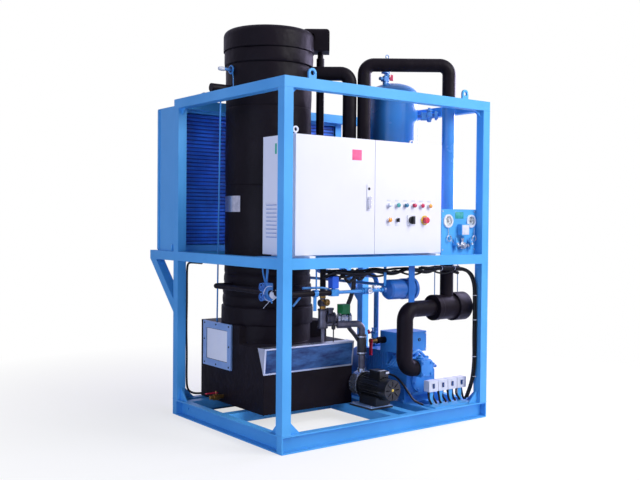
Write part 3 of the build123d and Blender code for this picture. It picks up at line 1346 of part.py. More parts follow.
def control_boxes():
    """Four small switch boxes in a row, each with a shallow window."""
    pieces = []
    for x in small_box_places():
        case = box(x, x + SMALL_BOX_W, SMALL_BOX_Y, SMALL_BOX_Y + SMALL_BOX_D, SMALL_BOX_Z, SMALL_BOX_Z + SMALL_BOX_H)
        case = fillet(case.edges().filter_by(Axis.Y), 5)
        case -= box(x + 26, x + 46, SMALL_BOX_Y - 1, SMALL_BOX_Y + 3, SMALL_BOX_Z + 26, SMALL_BOX_Z + 52)
        pieces.append(case)
    return pieces


def control_box_stand():
    """Plate beside the front channel with a leg under each box."""
    right = SMALL_BOX_LEFT + SMALL_BOXES * SMALL_BOX_PITCH
    top = CHANNEL_H + 6
    stand = box(SMALL_BOX_LEFT - 6, right, CHANNEL_W - 12, SMALL_BOX_Y + SMALL_BOX_D, CHANNEL_H, top)
    for x in small_box_places():
        stand += box(x + 20, x + 50, SMALL_BOX_Y + 12, SMALL_BOX_Y + 18, top, SMALL_BOX_Z)
    return stand


def thin_lines():
    """Equalising tube from the top rail to the housing, and the gauge capillaries."""
    equaliser = rod((TUBE - 10, 755, FRAME_H - TUBE), (BOX_LEFT + 18, 1078, BOX_TOP), 5)
    pieces = [equaliser & box(0, FRAME_W, 0, FRAME_D, BOX_TOP, FRAME_H - TUBE)]
    back = TUBE + GAUGE_DEPTH + 18
    for x, radius in zip(GAUGE_X, (STRAINER_CAP_R, STRAINER_DRUM_R)):
        low = STRAINER_Z + radius
        pieces += pipe_pieces([(x, back, GAUGE_Z), (x, RISER_Y, GAUGE_Z), (x, RISER_Y, low)], 3, 20)
    return pieces


def cables():
    """Pump lead, and the bundle under the front middle rail and down the right post."""
    pump_lead = cable(
        "pump lead",
        [(PUMP_X + 36, 300, 302), (1022, 300, 304), (1076, 274, 284), (1112, 240, 232), (1134, 206, 172),
         (1152, 172, 124), (1190, 138, 110)],
        CABLE_R,
    )
    bundle = cable(
        "bundle",
        [(1110, 92, 990), (1230, 96, 978), (1345, 90, 984), (1455, 84, 978), (1526, 58, 952), (1553, 42, 870),
         (1550, 40, 760), (1558, 43, 640), (1552, 40, 520), (1558, 42, 400), (1551, 42, 290), (1546, 60, 205),
         (1536, 92, 124)],
        BUNDLE_R,
    )
    return [pump_lead, bundle]


save("skid_frame", *skid(), control_box_stand())
save("frame_posts", *posts())
save("frame_rails", *rails(), *lifting_lugs())
save("frame_braces", *braces())
save("tower_insulation", tower_jacket())
save("tower_cap", tower_cap())
save("evaporator_shell", evaporator_shell())
save("evaporator_tubes", *evaporator_tubes())
save("water_distributor", water_distributor())
save("ice_box", ice_box())
save("outlet_frame", outlet_frame())
save("outlet_cover", outlet_cover())
save("front_cover", front_cover())
save("ice_slide", ice_slide())
save("cutter_gearmotor", cutter_gearmotor())
save("cutter_rotor", cutter_rotor())
save("condenser_casing", *condenser_casing())
save("condenser_coil", *condenser_coil())
save("fan_guards", *[fan_guard(x) for x in fan_places()])
save("fan_rotor_left", fan_rotor(fan_places()[0]))
save("fan_rotor_right", fan_rotor(fan_places()[1]))
save("separator_vessel", separator_vessel())
save("vessel_valves", *vessel_valves())
save("vessel_handwheel", handwheel((VESSEL_X - 85, VESSEL_Y - 10, VESSEL_TOP + 60), (0, 0, 1)))
save("insulated_pipes", *insulated_pipes(), *water_riser())
save("suction_riser", suction_riser())
save("compressor_body", compressor_body())
save("compressor_heads", *compressor_heads())
save("compressor_terminal_box", compressor_terminal_box())
save("pump_motor", pump_motor())
save("pump_head", *pump_head())
save("pump_rotor", pump_rotor())
save("water_hose", *water_hose())
save("water_valves", *water_valves())
save("filter_drier", *filter_drier())
save("refrigerant_lines", *liquid_line(), *thin_lines())
save("solenoid_coils", solenoid_coil(), water_coil())
save("hand_valves", hand_valves())
for wheel_name, wheel_z in zip(("lower_handwheel", "upper_handwheel"), wheel_heights()):
    save(wheel_name, handwheel((HAND_VALVE_X - 36, HAND_VALVE_Y, wheel_z), (-1, 0, 0)))
save("ball_valves", *ball_valves())
save("oil_valve_lever", oil_valve_lever())
save("drain_valve_lever", drain_valve_lever())
save("cabinet_shell", cabinet_shell())
save("cabinet_door_left", left_door())
save("cabinet_door_right", right_door())
save("door_handle", door_handle())
save("panel_operators", *operator_bodies())
save("start_button", push_button(2))
save("stop_button", push_button(3))
save("selector_knob", selector_knob())
save("main_switch_knob", main_switch_knob())
save("emergency_stop_button", emergency_stop())
save("cabinet_switchgear", *switchgear())
save("gauge_panel", *gauge_panel())
save("gauge_cases", *gauge_cases())
save("gauge_pointer_left", gauge_pointer(GAUGE_X[0]))
save("gauge_pointer_right", gauge_pointer(GAUGE_X[1]))
save("control_boxes", *control_boxes())
save("cables", *cables())
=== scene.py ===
import bpy
import random
from math import atan, cos, pi, radians, sin
from mathutils import Euler, Matrix, Vector


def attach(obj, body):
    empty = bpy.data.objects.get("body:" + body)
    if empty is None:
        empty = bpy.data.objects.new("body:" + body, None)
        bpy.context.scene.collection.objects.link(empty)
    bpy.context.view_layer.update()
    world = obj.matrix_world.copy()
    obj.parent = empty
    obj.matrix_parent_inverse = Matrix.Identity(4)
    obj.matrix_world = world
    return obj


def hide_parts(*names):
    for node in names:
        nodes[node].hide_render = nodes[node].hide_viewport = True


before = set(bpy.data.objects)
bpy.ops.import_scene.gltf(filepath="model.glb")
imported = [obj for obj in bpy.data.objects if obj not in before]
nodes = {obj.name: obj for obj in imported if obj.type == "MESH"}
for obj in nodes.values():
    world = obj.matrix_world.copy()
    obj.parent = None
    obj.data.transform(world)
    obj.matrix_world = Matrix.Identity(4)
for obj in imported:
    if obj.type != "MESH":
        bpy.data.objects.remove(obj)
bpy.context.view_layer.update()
random.seed(7)


# Camera and studio
# The photographer stood off the machine's front left corner at chest height. Places in this file
# are in millimetres from the frame's front left foot: x along the front, y to the back, z up.

plan_centre_x, plan_centre_y = 815, 800


def at(x, y, z):
    """A place on the machine, as a vector in metres."""
    return Vector((x - plan_centre_x, y - plan_centre_y, z)) / 1000


def linear(colour):
    """sRGB hex to the linear values a shader takes."""
    parts = [int(colour[i:i + 2], 16) / 255 for i in (1, 3, 5)]
    return [c / 12.92 if c <= 0.04045 else ((c + 0.055) / 1.055) ** 2.4 for c in parts] + [1]


def add(tree, kind, links=None, values=None, **settings):
    """One shader node with its settings, its socket values and what is linked into it."""
    made = tree.nodes.new("ShaderNode" + kind)
    for name, setting in settings.items():
        setattr(made, name, setting)
    for socket, value in (values or {}).items():
        made.inputs[socket].default_value = value
    for socket, source in (links or {}).items():
        tree.links.new(source, made.inputs[socket])
    return made


camera = bpy.data.objects.new("camera", bpy.data.cameras.new("camera"))
bpy.context.scene.collection.objects.link(camera)
turned_right, tipped_down, rolled = 0.649554, 0.021873, 0.008767
picture_width_px, focal_length_px = 640, 863.81
camera.location = at(-2660, -3829.2, 1275.1)
aim = Euler((0, 0, -turned_right)).to_matrix() @ Euler((pi / 2 - tipped_down, 0, 0)).to_matrix()
camera.rotation_euler = (aim @ Euler((0, 0, rolled)).to_matrix()).to_euler()
camera.data.sensor_width = 36
camera.data.lens = focal_length_px / picture_width_px * camera.data.sensor_width
camera.data.clip_end = 100
bpy.context.scene.camera = camera
bpy.context.scene.view_settings.view_transform = "Standard"

world = bpy.data.worlds.new("studio")
bpy.context.scene.world = world
world.use_nodes = True
sky = world.node_tree
sky.nodes.clear()
path = add(sky, "LightPath")
seen = add(
    sky, "Math", {0: path.outputs["Is Camera Ray"], 1: path.outputs["Is Transmission Ray"]},
    operation="MAXIMUM",
)
shine = add(sky, "MapRange", {"Value": path.outputs["Is Glossy Ray"]}, {"To Min": 0.23, "To Max": 1.0})
fill = add(sky, "Background", {"Strength": shine.outputs["Result"]}, {"Color": linear("#E4E1FC")})
white = add(sky, "Background", values={"Color": linear("#FFFFFF"), "Strength": 1.0})
mix = add(sky, "MixShader", {0: seen.outputs[0], 1: fill.outputs[0], 2: white.outputs[0]})
add(sky, "OutputWorld", {"Surface": mix.outputs[0]})


def lamp(name, kind, place, target, size, power, colour="#FFFFFF"):
    """A soft studio lamp turned towards a place on the machine."""
    light = bpy.data.objects.new(name, bpy.data.lights.new(name, kind))
    bpy.context.scene.collection.objects.link(light)
    light.location = at(*place)
    light.rotation_euler = (at(*target) - at(*place)).to_track_quat("-Z", "Y").to_euler()
    setattr(light.data, "angle" if kind == "SUN" else "size", size)
    light.data.energy = power
    light.data.color = linear(colour)[:3]


lamp("key_lamp", "SUN", (2700, -4600, 3500), (800, 400, 1000), radians(24), 1.32)
lamp("top_lamp", "AREA", (2100, -2400, 3700), (1250, 0, 1750), 1.8, 97)
lamp("side_lamp", "AREA", (-3000, -600, 1300), (200, 900, 900), 2.4, 52, "#D3E1FF")
lamp("edge_lamp", "AREA", (4700, 500, 2300), (500, 900, 1700), 2.2, 260, "#DCD2FF")


def started(primitive, stretch=(1, 1, 1), **settings):
    """A primitive at its size and place, selected alone, its place then put into its mesh."""
    bpy.ops.object.select_all(action="DESELECT")
    primitive(**settings)
    piece = bpy.context.object
    piece.scale = stretch
    bpy.ops.object.transform_apply(location=True, rotation=True, scale=True)
    return piece


floor = started(bpy.ops.mesh.primitive_plane_add, size=80)
floor.name = floor.data.name = "floor"
floor_paint = bpy.data.materials.new("studio_floor_paint")
floor_paint.use_nodes = True
tree = floor_paint.node_tree
tree.nodes.clear()
path = add(tree, "LightPath")
matte = add(tree, "BsdfDiffuse", values={"Color": linear("#F6F7FA")})
glow = add(tree, "Emission", values={"Color": linear("#FFFFFF"), "Strength": 1.0})
dull = add(tree, "BsdfDiffuse", values={"Color": linear("#DDE1EA")})
away = add(tree, "VectorMath", {0: add(tree, "TexCoord").outputs["Object"]}, operation="LENGTH")
fade = add(
    tree, "MapRange", {"Value": away.outputs["Value"]},
    {"From Min": 1.2, "From Max": 3.4, "To Min": 0.68, "To Max": 1.0},
)
shown = add(tree, "MixShader", {0: fade.outputs["Result"], 1: matte.outputs[0], 2: glow.outputs[0]})
both = add(tree, "MixShader", {0: path.outputs["Is Camera Ray"], 1: dull.outputs[0], 2: shown.outputs[0]})
add(tree, "OutputMaterial", {"Surface": both.outputs[0]})
floor.data.materials.append(floor_paint)


# Welded frame
# Square steel tube and channel, welded, ground and painted with one coat of blue alkyd enamel.
# The brush and spray leave a faint orange peel about 4 mm apart and slightly uneven gloss.


def new_material(name):
    """An empty material for one real finish, with its shader."""
    made = bpy.data.materials.new(name)
    made.use_nodes = True
    return made, made.node_tree, made.node_tree.nodes["Principled BSDF"]


def surface(
    name, light, dark, patch_mm, grain_mm, grain_depth_mm, rough, metal=0.0, edge_mm=1.5, rough_spread=0.08
):
    """A finish with uneven colour in patches, a fine grain in relief and softened edges."""
    made, tree, shader = new_material(name)
    place = add(tree, "TexCoord").outputs["Object"]
    patch = add(
        tree, "TexNoise", {"Vector": place}, {"Scale": 1000 / patch_mm, "Detail": 4.0, "Roughness": 0.55}
    )
    tone = add(tree, "ValToRGB", {"Fac": patch.outputs["Fac"]})
    ends = tone.color_ramp.elements
    ends[0].position, ends[0].color = 0.32, linear(dark)
    ends[1].position, ends[1].color = 0.68, linear(light)
    grain = add(tree, "TexNoise", {"Vector": place}, {"Scale": 1000 / grain_mm, "Detail": 3.0})
    gloss = add(
        tree, "MapRange", {"Value": patch.outputs["Fac"]},
        {"To Min": rough + rough_spread, "To Max": rough - rough_spread},
    )
    edge = add(tree, "Bevel", values={"Radius": edge_mm / 1000}, samples=4)
    relief = add(
        tree, "Bump", {"Height": grain.outputs["Fac"], "Normal": edge.outputs["Normal"]},
        {"Strength": 0.6, "Distance": grain_depth_mm / 1000},
    )
    tree.links.new(tone.outputs["Color"], shader.inputs["Base Color"])
    tree.links.new(gloss.outputs["Result"], shader.inputs["Roughness"])
    tree.links.new(relief.outputs["Normal"], shader.inputs["Normal"])
    shader.inputs["Metallic"].default_value = metal
    return made


def coat(material, *names):
    """Put a finish on CAD nodes."""
    for name in names:
        data = nodes[name].data
        data.materials.clear()
        data.materials.append(material)


blue_enamel = surface("alkyd_enamel_blue", "#54AAE8", "#499EDD", 420, 4, 0.12, 0.42)
blue_enamel.node_tree.nodes["Principled BSDF"].inputs["Specular IOR Level"].default_value = 0.33
coat(blue_enamel, "skid_frame", "frame_posts", "frame_rails", "frame_braces", "gauge_panel")


def only(piece):
    """Select one piece and nothing else."""
    bpy.ops.object.select_all(action="DESELECT")
    piece.select_set(True)
    bpy.context.view_layer.objects.active = piece


def settle(pieces, name, material, body="frame", smooth=35):
    """Join and name a finished piece, give it its finish, and let it ride on its body."""
    piece = joined(pieces) if isinstance(pieces, list) else pieces
    only(piece)
    bpy.ops.object.transform_apply(location=True, rotation=True, scale=True)
    bpy.ops.object.shade_smooth_by_angle(angle=radians(smooth))
    piece.name = piece.data.name = name
    piece.data.materials.clear()
    piece.data.materials.append(material)
    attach(piece, body)
    return piece


def joined(pieces):
    """Several meshes made into one."""
    bpy.ops.object.select_all(action="DESELECT")
    for piece in pieces:
        piece.select_set(True)
    bpy.context.view_layer.objects.active = pieces[0]
    if len(pieces) > 1:
        bpy.ops.object.join()
    return pieces[0]


def round_line(kind, points, radius, roundness):
    """A curve of one spline along points, round in section, and its spline."""
    curve = bpy.data.curves.new("line", "CURVE")
    curve.dimensions = "3D"
    curve.bevel_depth = radius / 1000
    curve.bevel_resolution = roundness
    curve.use_fill_caps = True
    line = curve.splines.new(kind)
    line.points.add(len(points) - 1)
    for spot, point in zip(line.points, points):
        spot.co = (*at(*point), 1)
    piece = bpy.data.objects.new("line", curve)
    bpy.context.scene.collection.objects.link(piece)
    return piece, line


def meshed(piece):
    """A curve made into a mesh."""
    only(piece)
    bpy.ops.object.convert(target="MESH")
    return bpy.context.object


def bead(points, radius, closed=True):
    """A round bead or stiff wire straight from point to point."""
    piece, line = round_line("POLY", points, radius, 2)
    line.use_cyclic_u = closed
    return meshed(piece)


half_tube = 30
skid_top, middle_rail_low, middle_rail_high, top_rail_low = 100, 1008, 1068, 2000


def post_outline(x, y, z):
    """Corners of a square post at a height."""
    turns = ((-1, -1), (1, -1), (1, 1), (-1, 1))
    return [(x + across * half_tube, y + back * half_tube, z) for across, back in turns]


welds = []
for x in (30, 1600):
    for y in (30, 1230):
        welds += [bead(post_outline(x, y, skid_top), 2.2), bead(post_outline(x, y, top_rail_low), 1.8)]
        face_x = x + (half_tube if x < plan_centre_x else -half_tube)
        face_y = y + (half_tube if y < plan_centre_y else -half_tube)
        for z in (middle_rail_low, middle_rail_high):
            welds.append(bead([(face_x, y - half_tube, z), (face_x, y + half_tube, z)], 1.8, False))
            welds.append(bead([(x - half_tube, face_y, z), (x + half_tube, face_y, z)], 1.8, False))
settle(welds, "frame_weld_beads", blue_enamel)


# Foam jacket of the tower
# Sheets of closed-cell nitrile rubber foam glued round a rolled steel shell. They bulge between the glued
# seams and have a soft black skin with a greyish bloom, so they never look quite smooth.


def foam(name, light, dark):
    """Closed-cell rubber foam: dull black skin, soft lumps a hand wide and fine pores."""
    made = surface(name, light, dark, 260, 5, 0.35, 0.5, edge_mm=7, rough_spread=0.07)
    tree = made.node_tree
    shader = tree.nodes["Principled BSDF"]
    old = shader.inputs["Normal"].links[0].from_socket
    place = add(tree, "TexCoord").outputs["Object"]
    lumps = add(tree, "TexNoise", {"Vector": place}, {"Scale": 11.0, "Detail": 2.0})
    swell = add(
        tree, "Bump", {"Height": lumps.outputs["Fac"], "Normal": old}, {"Strength": 0.55, "Distance": 0.012}
    )
    tree.links.new(swell.outputs["Normal"], shader.inputs["Normal"])
    shader.inputs["Specular IOR Level"].default_value = 0.1
    shader.inputs["Sheen Weight"].default_value = 0.035
    shader.inputs["Sheen Roughness"].default_value = 0.4
    shader.inputs["Sheen Tint"].default_value = linear("#B9B3C6")
    return made


rubber_foam = foam("nitrile_foam_skin", "#161017", "#0D090F")
coat(rubber_foam, "tower_cap", "ice_box", "insulated_pipes")
coat(surface("rolled_shell_steel", "#8C9099", "#757A84", 200, 2, 0.05, 0.4, metal=0.6), "evaporator_shell")


def mode(name):
    """Go into or out of edit mode."""
    bpy.ops.object.mode_set(mode=name)


def drawn(points):
    """A line of edges from point to point: a primitive merged to a vertex, then extruded."""
    piece = started(bpy.ops.mesh.primitive_plane_add, size=0.01, location=points[0])
    mode("EDIT")
    bpy.ops.mesh.select_mode(type="VERT")
    bpy.ops.mesh.select_all(action="SELECT")
    bpy.ops.mesh.merge(type="CENTER")
    for start, end in zip(points, points[1:]):
        bpy.ops.mesh.extrude_region_move(TRANSFORM_OT_translate={"value": Vector(end) - Vector(start)})
    bpy.ops.mesh.select_all(action="SELECT")
    return piece


up = (0, 0, 1)


def turned(outline, origin, direction, steps):
    """A piece turned on a lathe: outline holds (radius, distance) along a direction from origin."""
    piece = drawn([(radius / 1000, 0, distance / 1000) for radius, distance in outline])
    bpy.ops.mesh.spin(steps=steps, angle=2 * pi, center=(0, 0, 0), axis=up)
    bpy.ops.mesh.select_all(action="SELECT")
    bpy.ops.mesh.remove_doubles(threshold=2e-6)
    bpy.ops.mesh.normals_make_consistent(inside=False)
    mode("OBJECT")
    turn = Vector(direction).to_track_quat("Z", "Y").to_matrix().to_4x4()
    piece.data.transform(Matrix.Translation(at(*origin)) @ turn)
    return piece


tower_x, tower_y, shell_radius = 504, 907, 246
jacket_foot, jacket_top = 612, 2367
seam_depth, seam_half_width, lip = 3.5, 0.5, 0.6
# each sheet's lower edge, upper edge, radius and bulge
bands = [
    (jacket_foot, 725, 300, 1.5), (725, 797, 289, 2.5), (797, 864, 288, 2.5), (864, 931, 281, 3),
    (931, 1000, 280, 3), (1000, 1500, 279.5, 1), (1500, 2000, 279.5, 1), (2000, 2274, 279.5, 1),
    (2274, jacket_top, 288.5, 1),
]
outline = [(shell_radius, jacket_foot)]
for low, high, radius, bulge in bands:
    outline += [(radius - seam_depth, low + seam_half_width), (radius - lip, low + 4)]
    count = max(2, int((high - low) / 22))
    for step in range(1, count):
        share = step / count
        outline.append((radius + bulge * sin(pi * share), low + (high - low) * share))
    outline += [(radius - lip, high - 4), (radius - seam_depth, high - seam_half_width)]
outline.append((shell_radius, jacket_top))
jacket = turned(outline + [outline[0]], (tower_x, tower_y, 0), up, 128)
dents = bpy.data.textures.new("jacket_dents", "CLOUDS")
dents.noise_scale = 0.11
dents.noise_depth = 1
push = jacket.modifiers.new("dents", "DISPLACE")
push.texture = dents
push.texture_coords = "LOCAL"
push.strength = 0.006
push.mid_level = 0.5
only(jacket)
bpy.ops.object.modifier_apply(modifier="dents")
settle(jacket, "tower_jacket_sheets", rubber_foam)
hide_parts("tower_insulation")


# Ice outlet and front cover
# Galvanised frame screwed on the box with pan-head screws, and a blank white polyethylene cover.
# The tank's front cover is folded stainless sheet with its blue protective film still on the face.

galvanised = surface("galvanised_sheet", "#9DBCE6", "#86A9DA", 90, 3, 0.05, 0.38, metal=0.2, edge_mm=0.8)
polyethylene = surface("polyethylene_sheet", "#FAFBFF", "#EDF0FA", 160, 6, 0.08, 0.45, edge_mm=1.5)
coat(galvanised, "outlet_frame")
coat(polyethylene, "outlet_cover")
leftward = (-1, 0, 0)


def cast(sides, radius, depth, origin, direction, bevel, inset=0.0, sink=0.0):
    """A prism or disc with bevelled rims, and a face inset and sunk at its outer end if asked."""
    way, turn = Vector(direction).normalized(), Vector(direction).to_track_quat("Z", "Y").to_euler()
    piece = started(
        bpy.ops.mesh.primitive_cylinder_add, vertices=sides, radius=radius / 1000, depth=depth / 1000,
        location=at(*origin) + way * depth / 2000, rotation=turn,
    )
    for step in ("rims", "face") if inset else ("rims",):
        mode("EDIT")
        bpy.ops.mesh.select_mode(type="FACE")
        bpy.ops.mesh.select_all(action="DESELECT")
        mode("OBJECT")
        faces = piece.data.polygons
        if step == "rims":
            for face in faces:
                face.select = abs(face.normal.dot(way)) > 0.99
        else:
            max(faces, key=lambda face: face.normal.dot(Vector(direction)) * face.area).select = True
        mode("EDIT")
        if step == "rims":
            bpy.ops.mesh.bevel(offset=bevel / 1000, segments=2, affect="EDGES")
        else:
            bpy.ops.mesh.inset(thickness=inset / 1000)
            bpy.ops.transform.translate(value=way * -sink / 1000)
        mode("OBJECT")
    return piece


def repeat(make, places):
    """One piece modelled by make at the first place, then copied to the others, as one mesh."""
    first = make(places[0])
    copies = [first]
    for place in places[1:]:
        copy = first.copy()
        copy.data = first.data.copy()
        bpy.context.scene.collection.objects.link(copy)
        copy.data.transform(Matrix.Translation(at(*place) - at(*places[0])))
        copies.append(copy)
    return joined(copies)


def screws(name, places, direction, radius, material, proud, sides=24):
    """Screw heads of one size, each with a sunk drive."""
    bevel, rim, drive = radius * 0.18, radius * 0.42, radius * 0.25
    made = repeat(lambda place: cast(sides, radius, proud, place, direction, bevel, rim, drive), places)
    return settle(made, name, material)


zinc = surface("zinc_plated_steel", "#C9CDD6", "#AEB4C0", 25, 1.5, 0.02, 0.3, metal=0.9, edge_mm=0.3)
black_oxide = surface("black_oxide_steel", "#2C3442", "#1D232E", 20, 1, 0.02, 0.4, metal=0.5, edge_mm=0.3)
spots = [(195, y, z) for y, z in (
    (1186, 597), (1040, 597), (882, 597), (1190, 490), (880, 468), (1186, 337), (1040, 337), (882, 337),
)]
screws("outlet_screws", spots, leftward, 6, black_oxide, 3)


def slab(low, high, edge):
    """A plate or block between two corners with rounded edges."""
    first, last = at(*low), at(*high)
    piece = started(bpy.ops.mesh.primitive_cube_add, last - first, size=1, location=(first + last) / 2)
    mode("EDIT")
    bpy.ops.mesh.select_all(action="SELECT")
    bpy.ops.mesh.bevel(offset=edge / 1000, segments=2, affect="EDGES")
    mode("OBJECT")
    return piece


gasket_rubber = surface("epdm_gasket", "#2B2D31", "#1E2024", 60, 2, 0.1, 0.6, edge_mm=0.4)
seal = bead([(198.6, y, z) for y, z in ((903, 366), (1162, 366), (1162, 566), (903, 566))], 1.6)
settle(seal, "outlet_cover_seal", gasket_rubber)

stainless = surface(
    "brushed_stainless_sheet", "#D4DAE6", "#BBC5D8", 140, 2, 0.02, 0.3, metal=0.85, edge_mm=0.6
)
coat(stainless, "front_cover", "ice_slide", "water_distributor", "evaporator_tubes", "cutter_rotor")
coat(surface("gearmotor_enamel", "#3F78C0", "#2F64A8", 100, 2, 0.1, 0.4), "cutter_gearmotor")

film, tree, shader = new_material("blue_protective_film")
place = add(tree, "TexCoord").outputs["Object"]
wide = add(tree, "Mapping", {"Vector": place}, {"Scale": (3.0, 3.0, 9.0)})
cloud = add(tree, "TexNoise", {"Vector": wide.outputs[0]}, {"Scale": 2.6, "Detail": 6.0, "Roughness": 0.6})
creases = add(tree, "Mapping", {"Vector": place}, {"Scale": (60.0, 60.0, 14.0)})
crease = add(tree, "TexNoise", {"Vector": creases.outputs[0]}, {"Scale": 2.0, "Detail": 5.0})
tone = add(tree, "ValToRGB", {"Fac": cloud.outputs["Fac"]})
ends = tone.color_ramp.elements
ends[0].position, ends[0].color = 0.34, linear("#102A5A")
ends[1].position, ends[1].color = 0.7, linear("#3C6AA0")
ripple = add(tree, "Bump", {"Height": crease.outputs["Fac"]}, {"Strength": 0.5, "Distance": 0.0012})
tree.links.new(tone.outputs["Color"], shader.inputs["Base Color"])
tree.links.new(ripple.outputs["Normal"], shader.inputs["Normal"])
shader.inputs["Roughness"].default_value = 0.28
shader.inputs["Metallic"].default_value = 0.35


def thickened(piece, thickness, offset):
    """Give a bare surface its thickness."""
    wall = piece.modifiers.new("wall", "SOLIDIFY")
    wall.thickness = thickness
    wall.offset = offset
    only(piece)
    bpy.ops.object.modifier_apply(modifier="wall")


cover_foot_y, cover_foot_z, slope = 492, 342, 14 / 158
film_low, film_high, film_length = 352, 493, 668
middle_z = (film_low + film_high) / 2
middle_y = cover_foot_y - (middle_z - cover_foot_z) * slope - 0.4
film_width = (film_high - film_low) / 1000 / cos(atan(slope))
sheet = started(
    bpy.ops.mesh.primitive_plane_add, (film_length / 1000, film_width, 1), size=1,
    location=at(550, middle_y, middle_z), rotation=(pi / 2 + atan(slope), 0, 0),
)
mode("EDIT")
bpy.ops.mesh.select_all(action="SELECT")
bpy.ops.mesh.subdivide(number_cuts=20)
mode("OBJECT")
thickened(sheet, 0.0003, 1)
settle(sheet, "front_cover_film", film)


# Condenser
# Folded casing in the frame's blue, and a copper-tube coil with blue epoxy-coated aluminium fins.
# The fans and their guards are black powder-coated steel; the casing screws are zinc plated.

coat(blue_enamel, "condenser_casing")
coated_fins = surface("epoxy_coated_fins", "#3C8CFF", "#2468E0", 300, 3, 0.1, 0.34, edge_mm=0.5)
fin_pitch_mm, tube_row_mm = 6, 25
tree = coated_fins.node_tree
shader = tree.nodes["Principled BSDF"]
old = shader.inputs["Normal"].links[0].from_socket
place = add(tree, "TexCoord").outputs["Object"]
fins = add(
    tree, "TexWave", {"Vector": place}, {"Scale": 1000 / (fin_pitch_mm * 2 * pi), "Distortion": 0.0},
    bands_direction="X",
)
tone = shader.inputs["Base Color"].links[0].from_socket
rows = add(
    tree, "TexWave", {"Vector": place},
    {"Scale": 2 * pi / (20 * tube_row_mm / 1000), "Phase Offset": 4.15, "Distortion": 0.0},
    bands_direction="Z",
)
# Painted shade: the fins darken towards deep navy in a band once every tube row (25 mm), standing for the
# shade between the rows.
depth = add(
    tree, "MapRange", {"Value": rows.outputs["Fac"]},
    {"From Min": 0.02, "From Max": 0.42, "To Min": 0.22, "To Max": 1.0},
)
# Irregular darker blotches from a coarse noise are multiplied into the painted row shade.
blotches = add(tree, "TexNoise", {"Vector": place}, {"Scale": 5.5, "Detail": 4.0})
blotch_darkening = add(
    tree, "MapRange", {"Value": blotches.outputs["Fac"]},
    {"From Min": 0.38, "From Max": 0.62, "To Min": 0.62, "To Max": 1.0},
)
shade = add(tree, "Math", {0: depth.outputs["Result"], 1: blotch_darkening.outputs["Result"]}, operation="MULTIPLY")
mixed = add(tree, "Mix", {0: shade.outputs[0], 7: tone}, {6: linear("#071A4E")}, data_type="RGBA")
tree.links.new(mixed.outputs[2], shader.inputs["Base Color"])
comb = add(tree, "Bump", {"Height": fins.outputs["Fac"], "Normal": old}, {"Strength": 0.7, "Distance": 0.001})
tree.links.new(comb.outputs["Normal"], shader.inputs["Normal"])
coat(coated_fins, "condenser_coil")
black_powder = surface("black_powder_coat", "#22242A", "#16181C", 80, 1.5, 0.05, 0.45, edge_mm=0.5)
coat(black_powder, "fan_guards")
fan_metal = surface("cast_fan_aluminium", "#6E7480", "#565C68", 120, 2, 0.05, 0.42, metal=0.6, edge_mm=0.8)
coat(fan_metal, "fan_rotor_left", "fan_rotor_right")

rightward, backward = (1, 0, 0), (0, 1, 0)
casing_left, casing_right, fan_z = 20, 1405, 1546
folds = [
    slab((16.5, 1290, 1076), (20.5, 1296, 2018), 1.5), slab((14.5, 1502, 1074), (20.5, 1528, 2020), 2),
    slab((6, 1296, 1070), (20.5, 1322, 1112), 1.5),
]
settle(folds, "condenser_side_folds", blue_enamel)
for side, x, way in (("left", casing_left, leftward), ("right", casing_right, rightward)):
    spots = [(x, y, z) for z in range(1100, 2024, 112) for y in (1284, 1508)]
    screws(f"condenser_side_screws_{side}", spots, way, 5, zinc, 2.5, 12)
spots = [(x, 1528, z) for x in (45, 712, 1380) for z in (1095, 1320, 1546, 1772, 1997)]
screws("condenser_deck_screws", spots, backward, 6, zinc, 3, 12)


def around(centre, radius, count, plane="xz", turn=0):
    """Places spread evenly round a centre, in the plane of two axes."""
    first, second = "xyz".index(plane[0]), "xyz".index(plane[1])
    places = []
    for step in range(count):
        place = list(centre)
        place[first] += radius * cos(radians(turn) + step * 2 * pi / count)
        place[second] += radius * sin(radians(turn) + step * 2 * pi / count)
        places.append(tuple(place))
    return places


fan_in = (casing_right - casing_left) * 0.27
rings = [
    bead(around((x, 1566.5, fan_z), radius, 48), 1.6)
    for x in (casing_left + fan_in, casing_right - fan_in) for radius in (88, 110, 155, 178, 230, 252, 270)
]
settle(rings, "fan_guard_rings", black_powder)


# Control cabinet
# Cabinet and doors of bent sheet steel with a pale textured powder coat. The operators are plastic with
# chromed bezels; the lamps' lenses are tinted acrylic.

pale_powder = surface("pale_powder_coat", "#E4E4EC", "#DFDFE8", 500, 1.6, 0.05, 0.42, edge_mm=1.6)
coat(pale_powder, "cabinet_door_left", "cabinet_door_right")
# Painted light: the shell's coat is a slightly lighter, bluer copy of the doors' coat, for its shaded left
# side.
coat(surface("cabinet_shell_powder_painted_light", "#E6E8F2", "#E0E2ED", 500, 1.6, 0.05, 0.42, edge_mm=1.6), "cabinet_shell")
coat(surface("breaker_plastic", "#C4C7CC", "#A9ACB3", 70, 3, 0.05, 0.45), "cabinet_switchgear")
abs_black = surface("moulded_abs_black", "#26272C", "#1A1B1F", 40, 1.2, 0.04, 0.38, edge_mm=0.6)
coat(abs_black, "main_switch_knob", "selector_knob")
chrome = surface(
    "chromed_brass", "#F1F3F7", "#E2E5EC", 30, 2, 0.01, 0.27, metal=1.0, edge_mm=0.4, rough_spread=0.04
)
coat(chrome, "panel_operators", "door_handle")


def gloss_plastic(name, light, dark):
    """Glossy moulded plastic with a clear skin."""
    made = surface(name, light, dark, 20, 2, 0.01, 0.22, edge_mm=0.5, rough_spread=0.04)
    made.node_tree.nodes["Principled BSDF"].inputs["Coat Weight"].default_value = 0.5
    return made


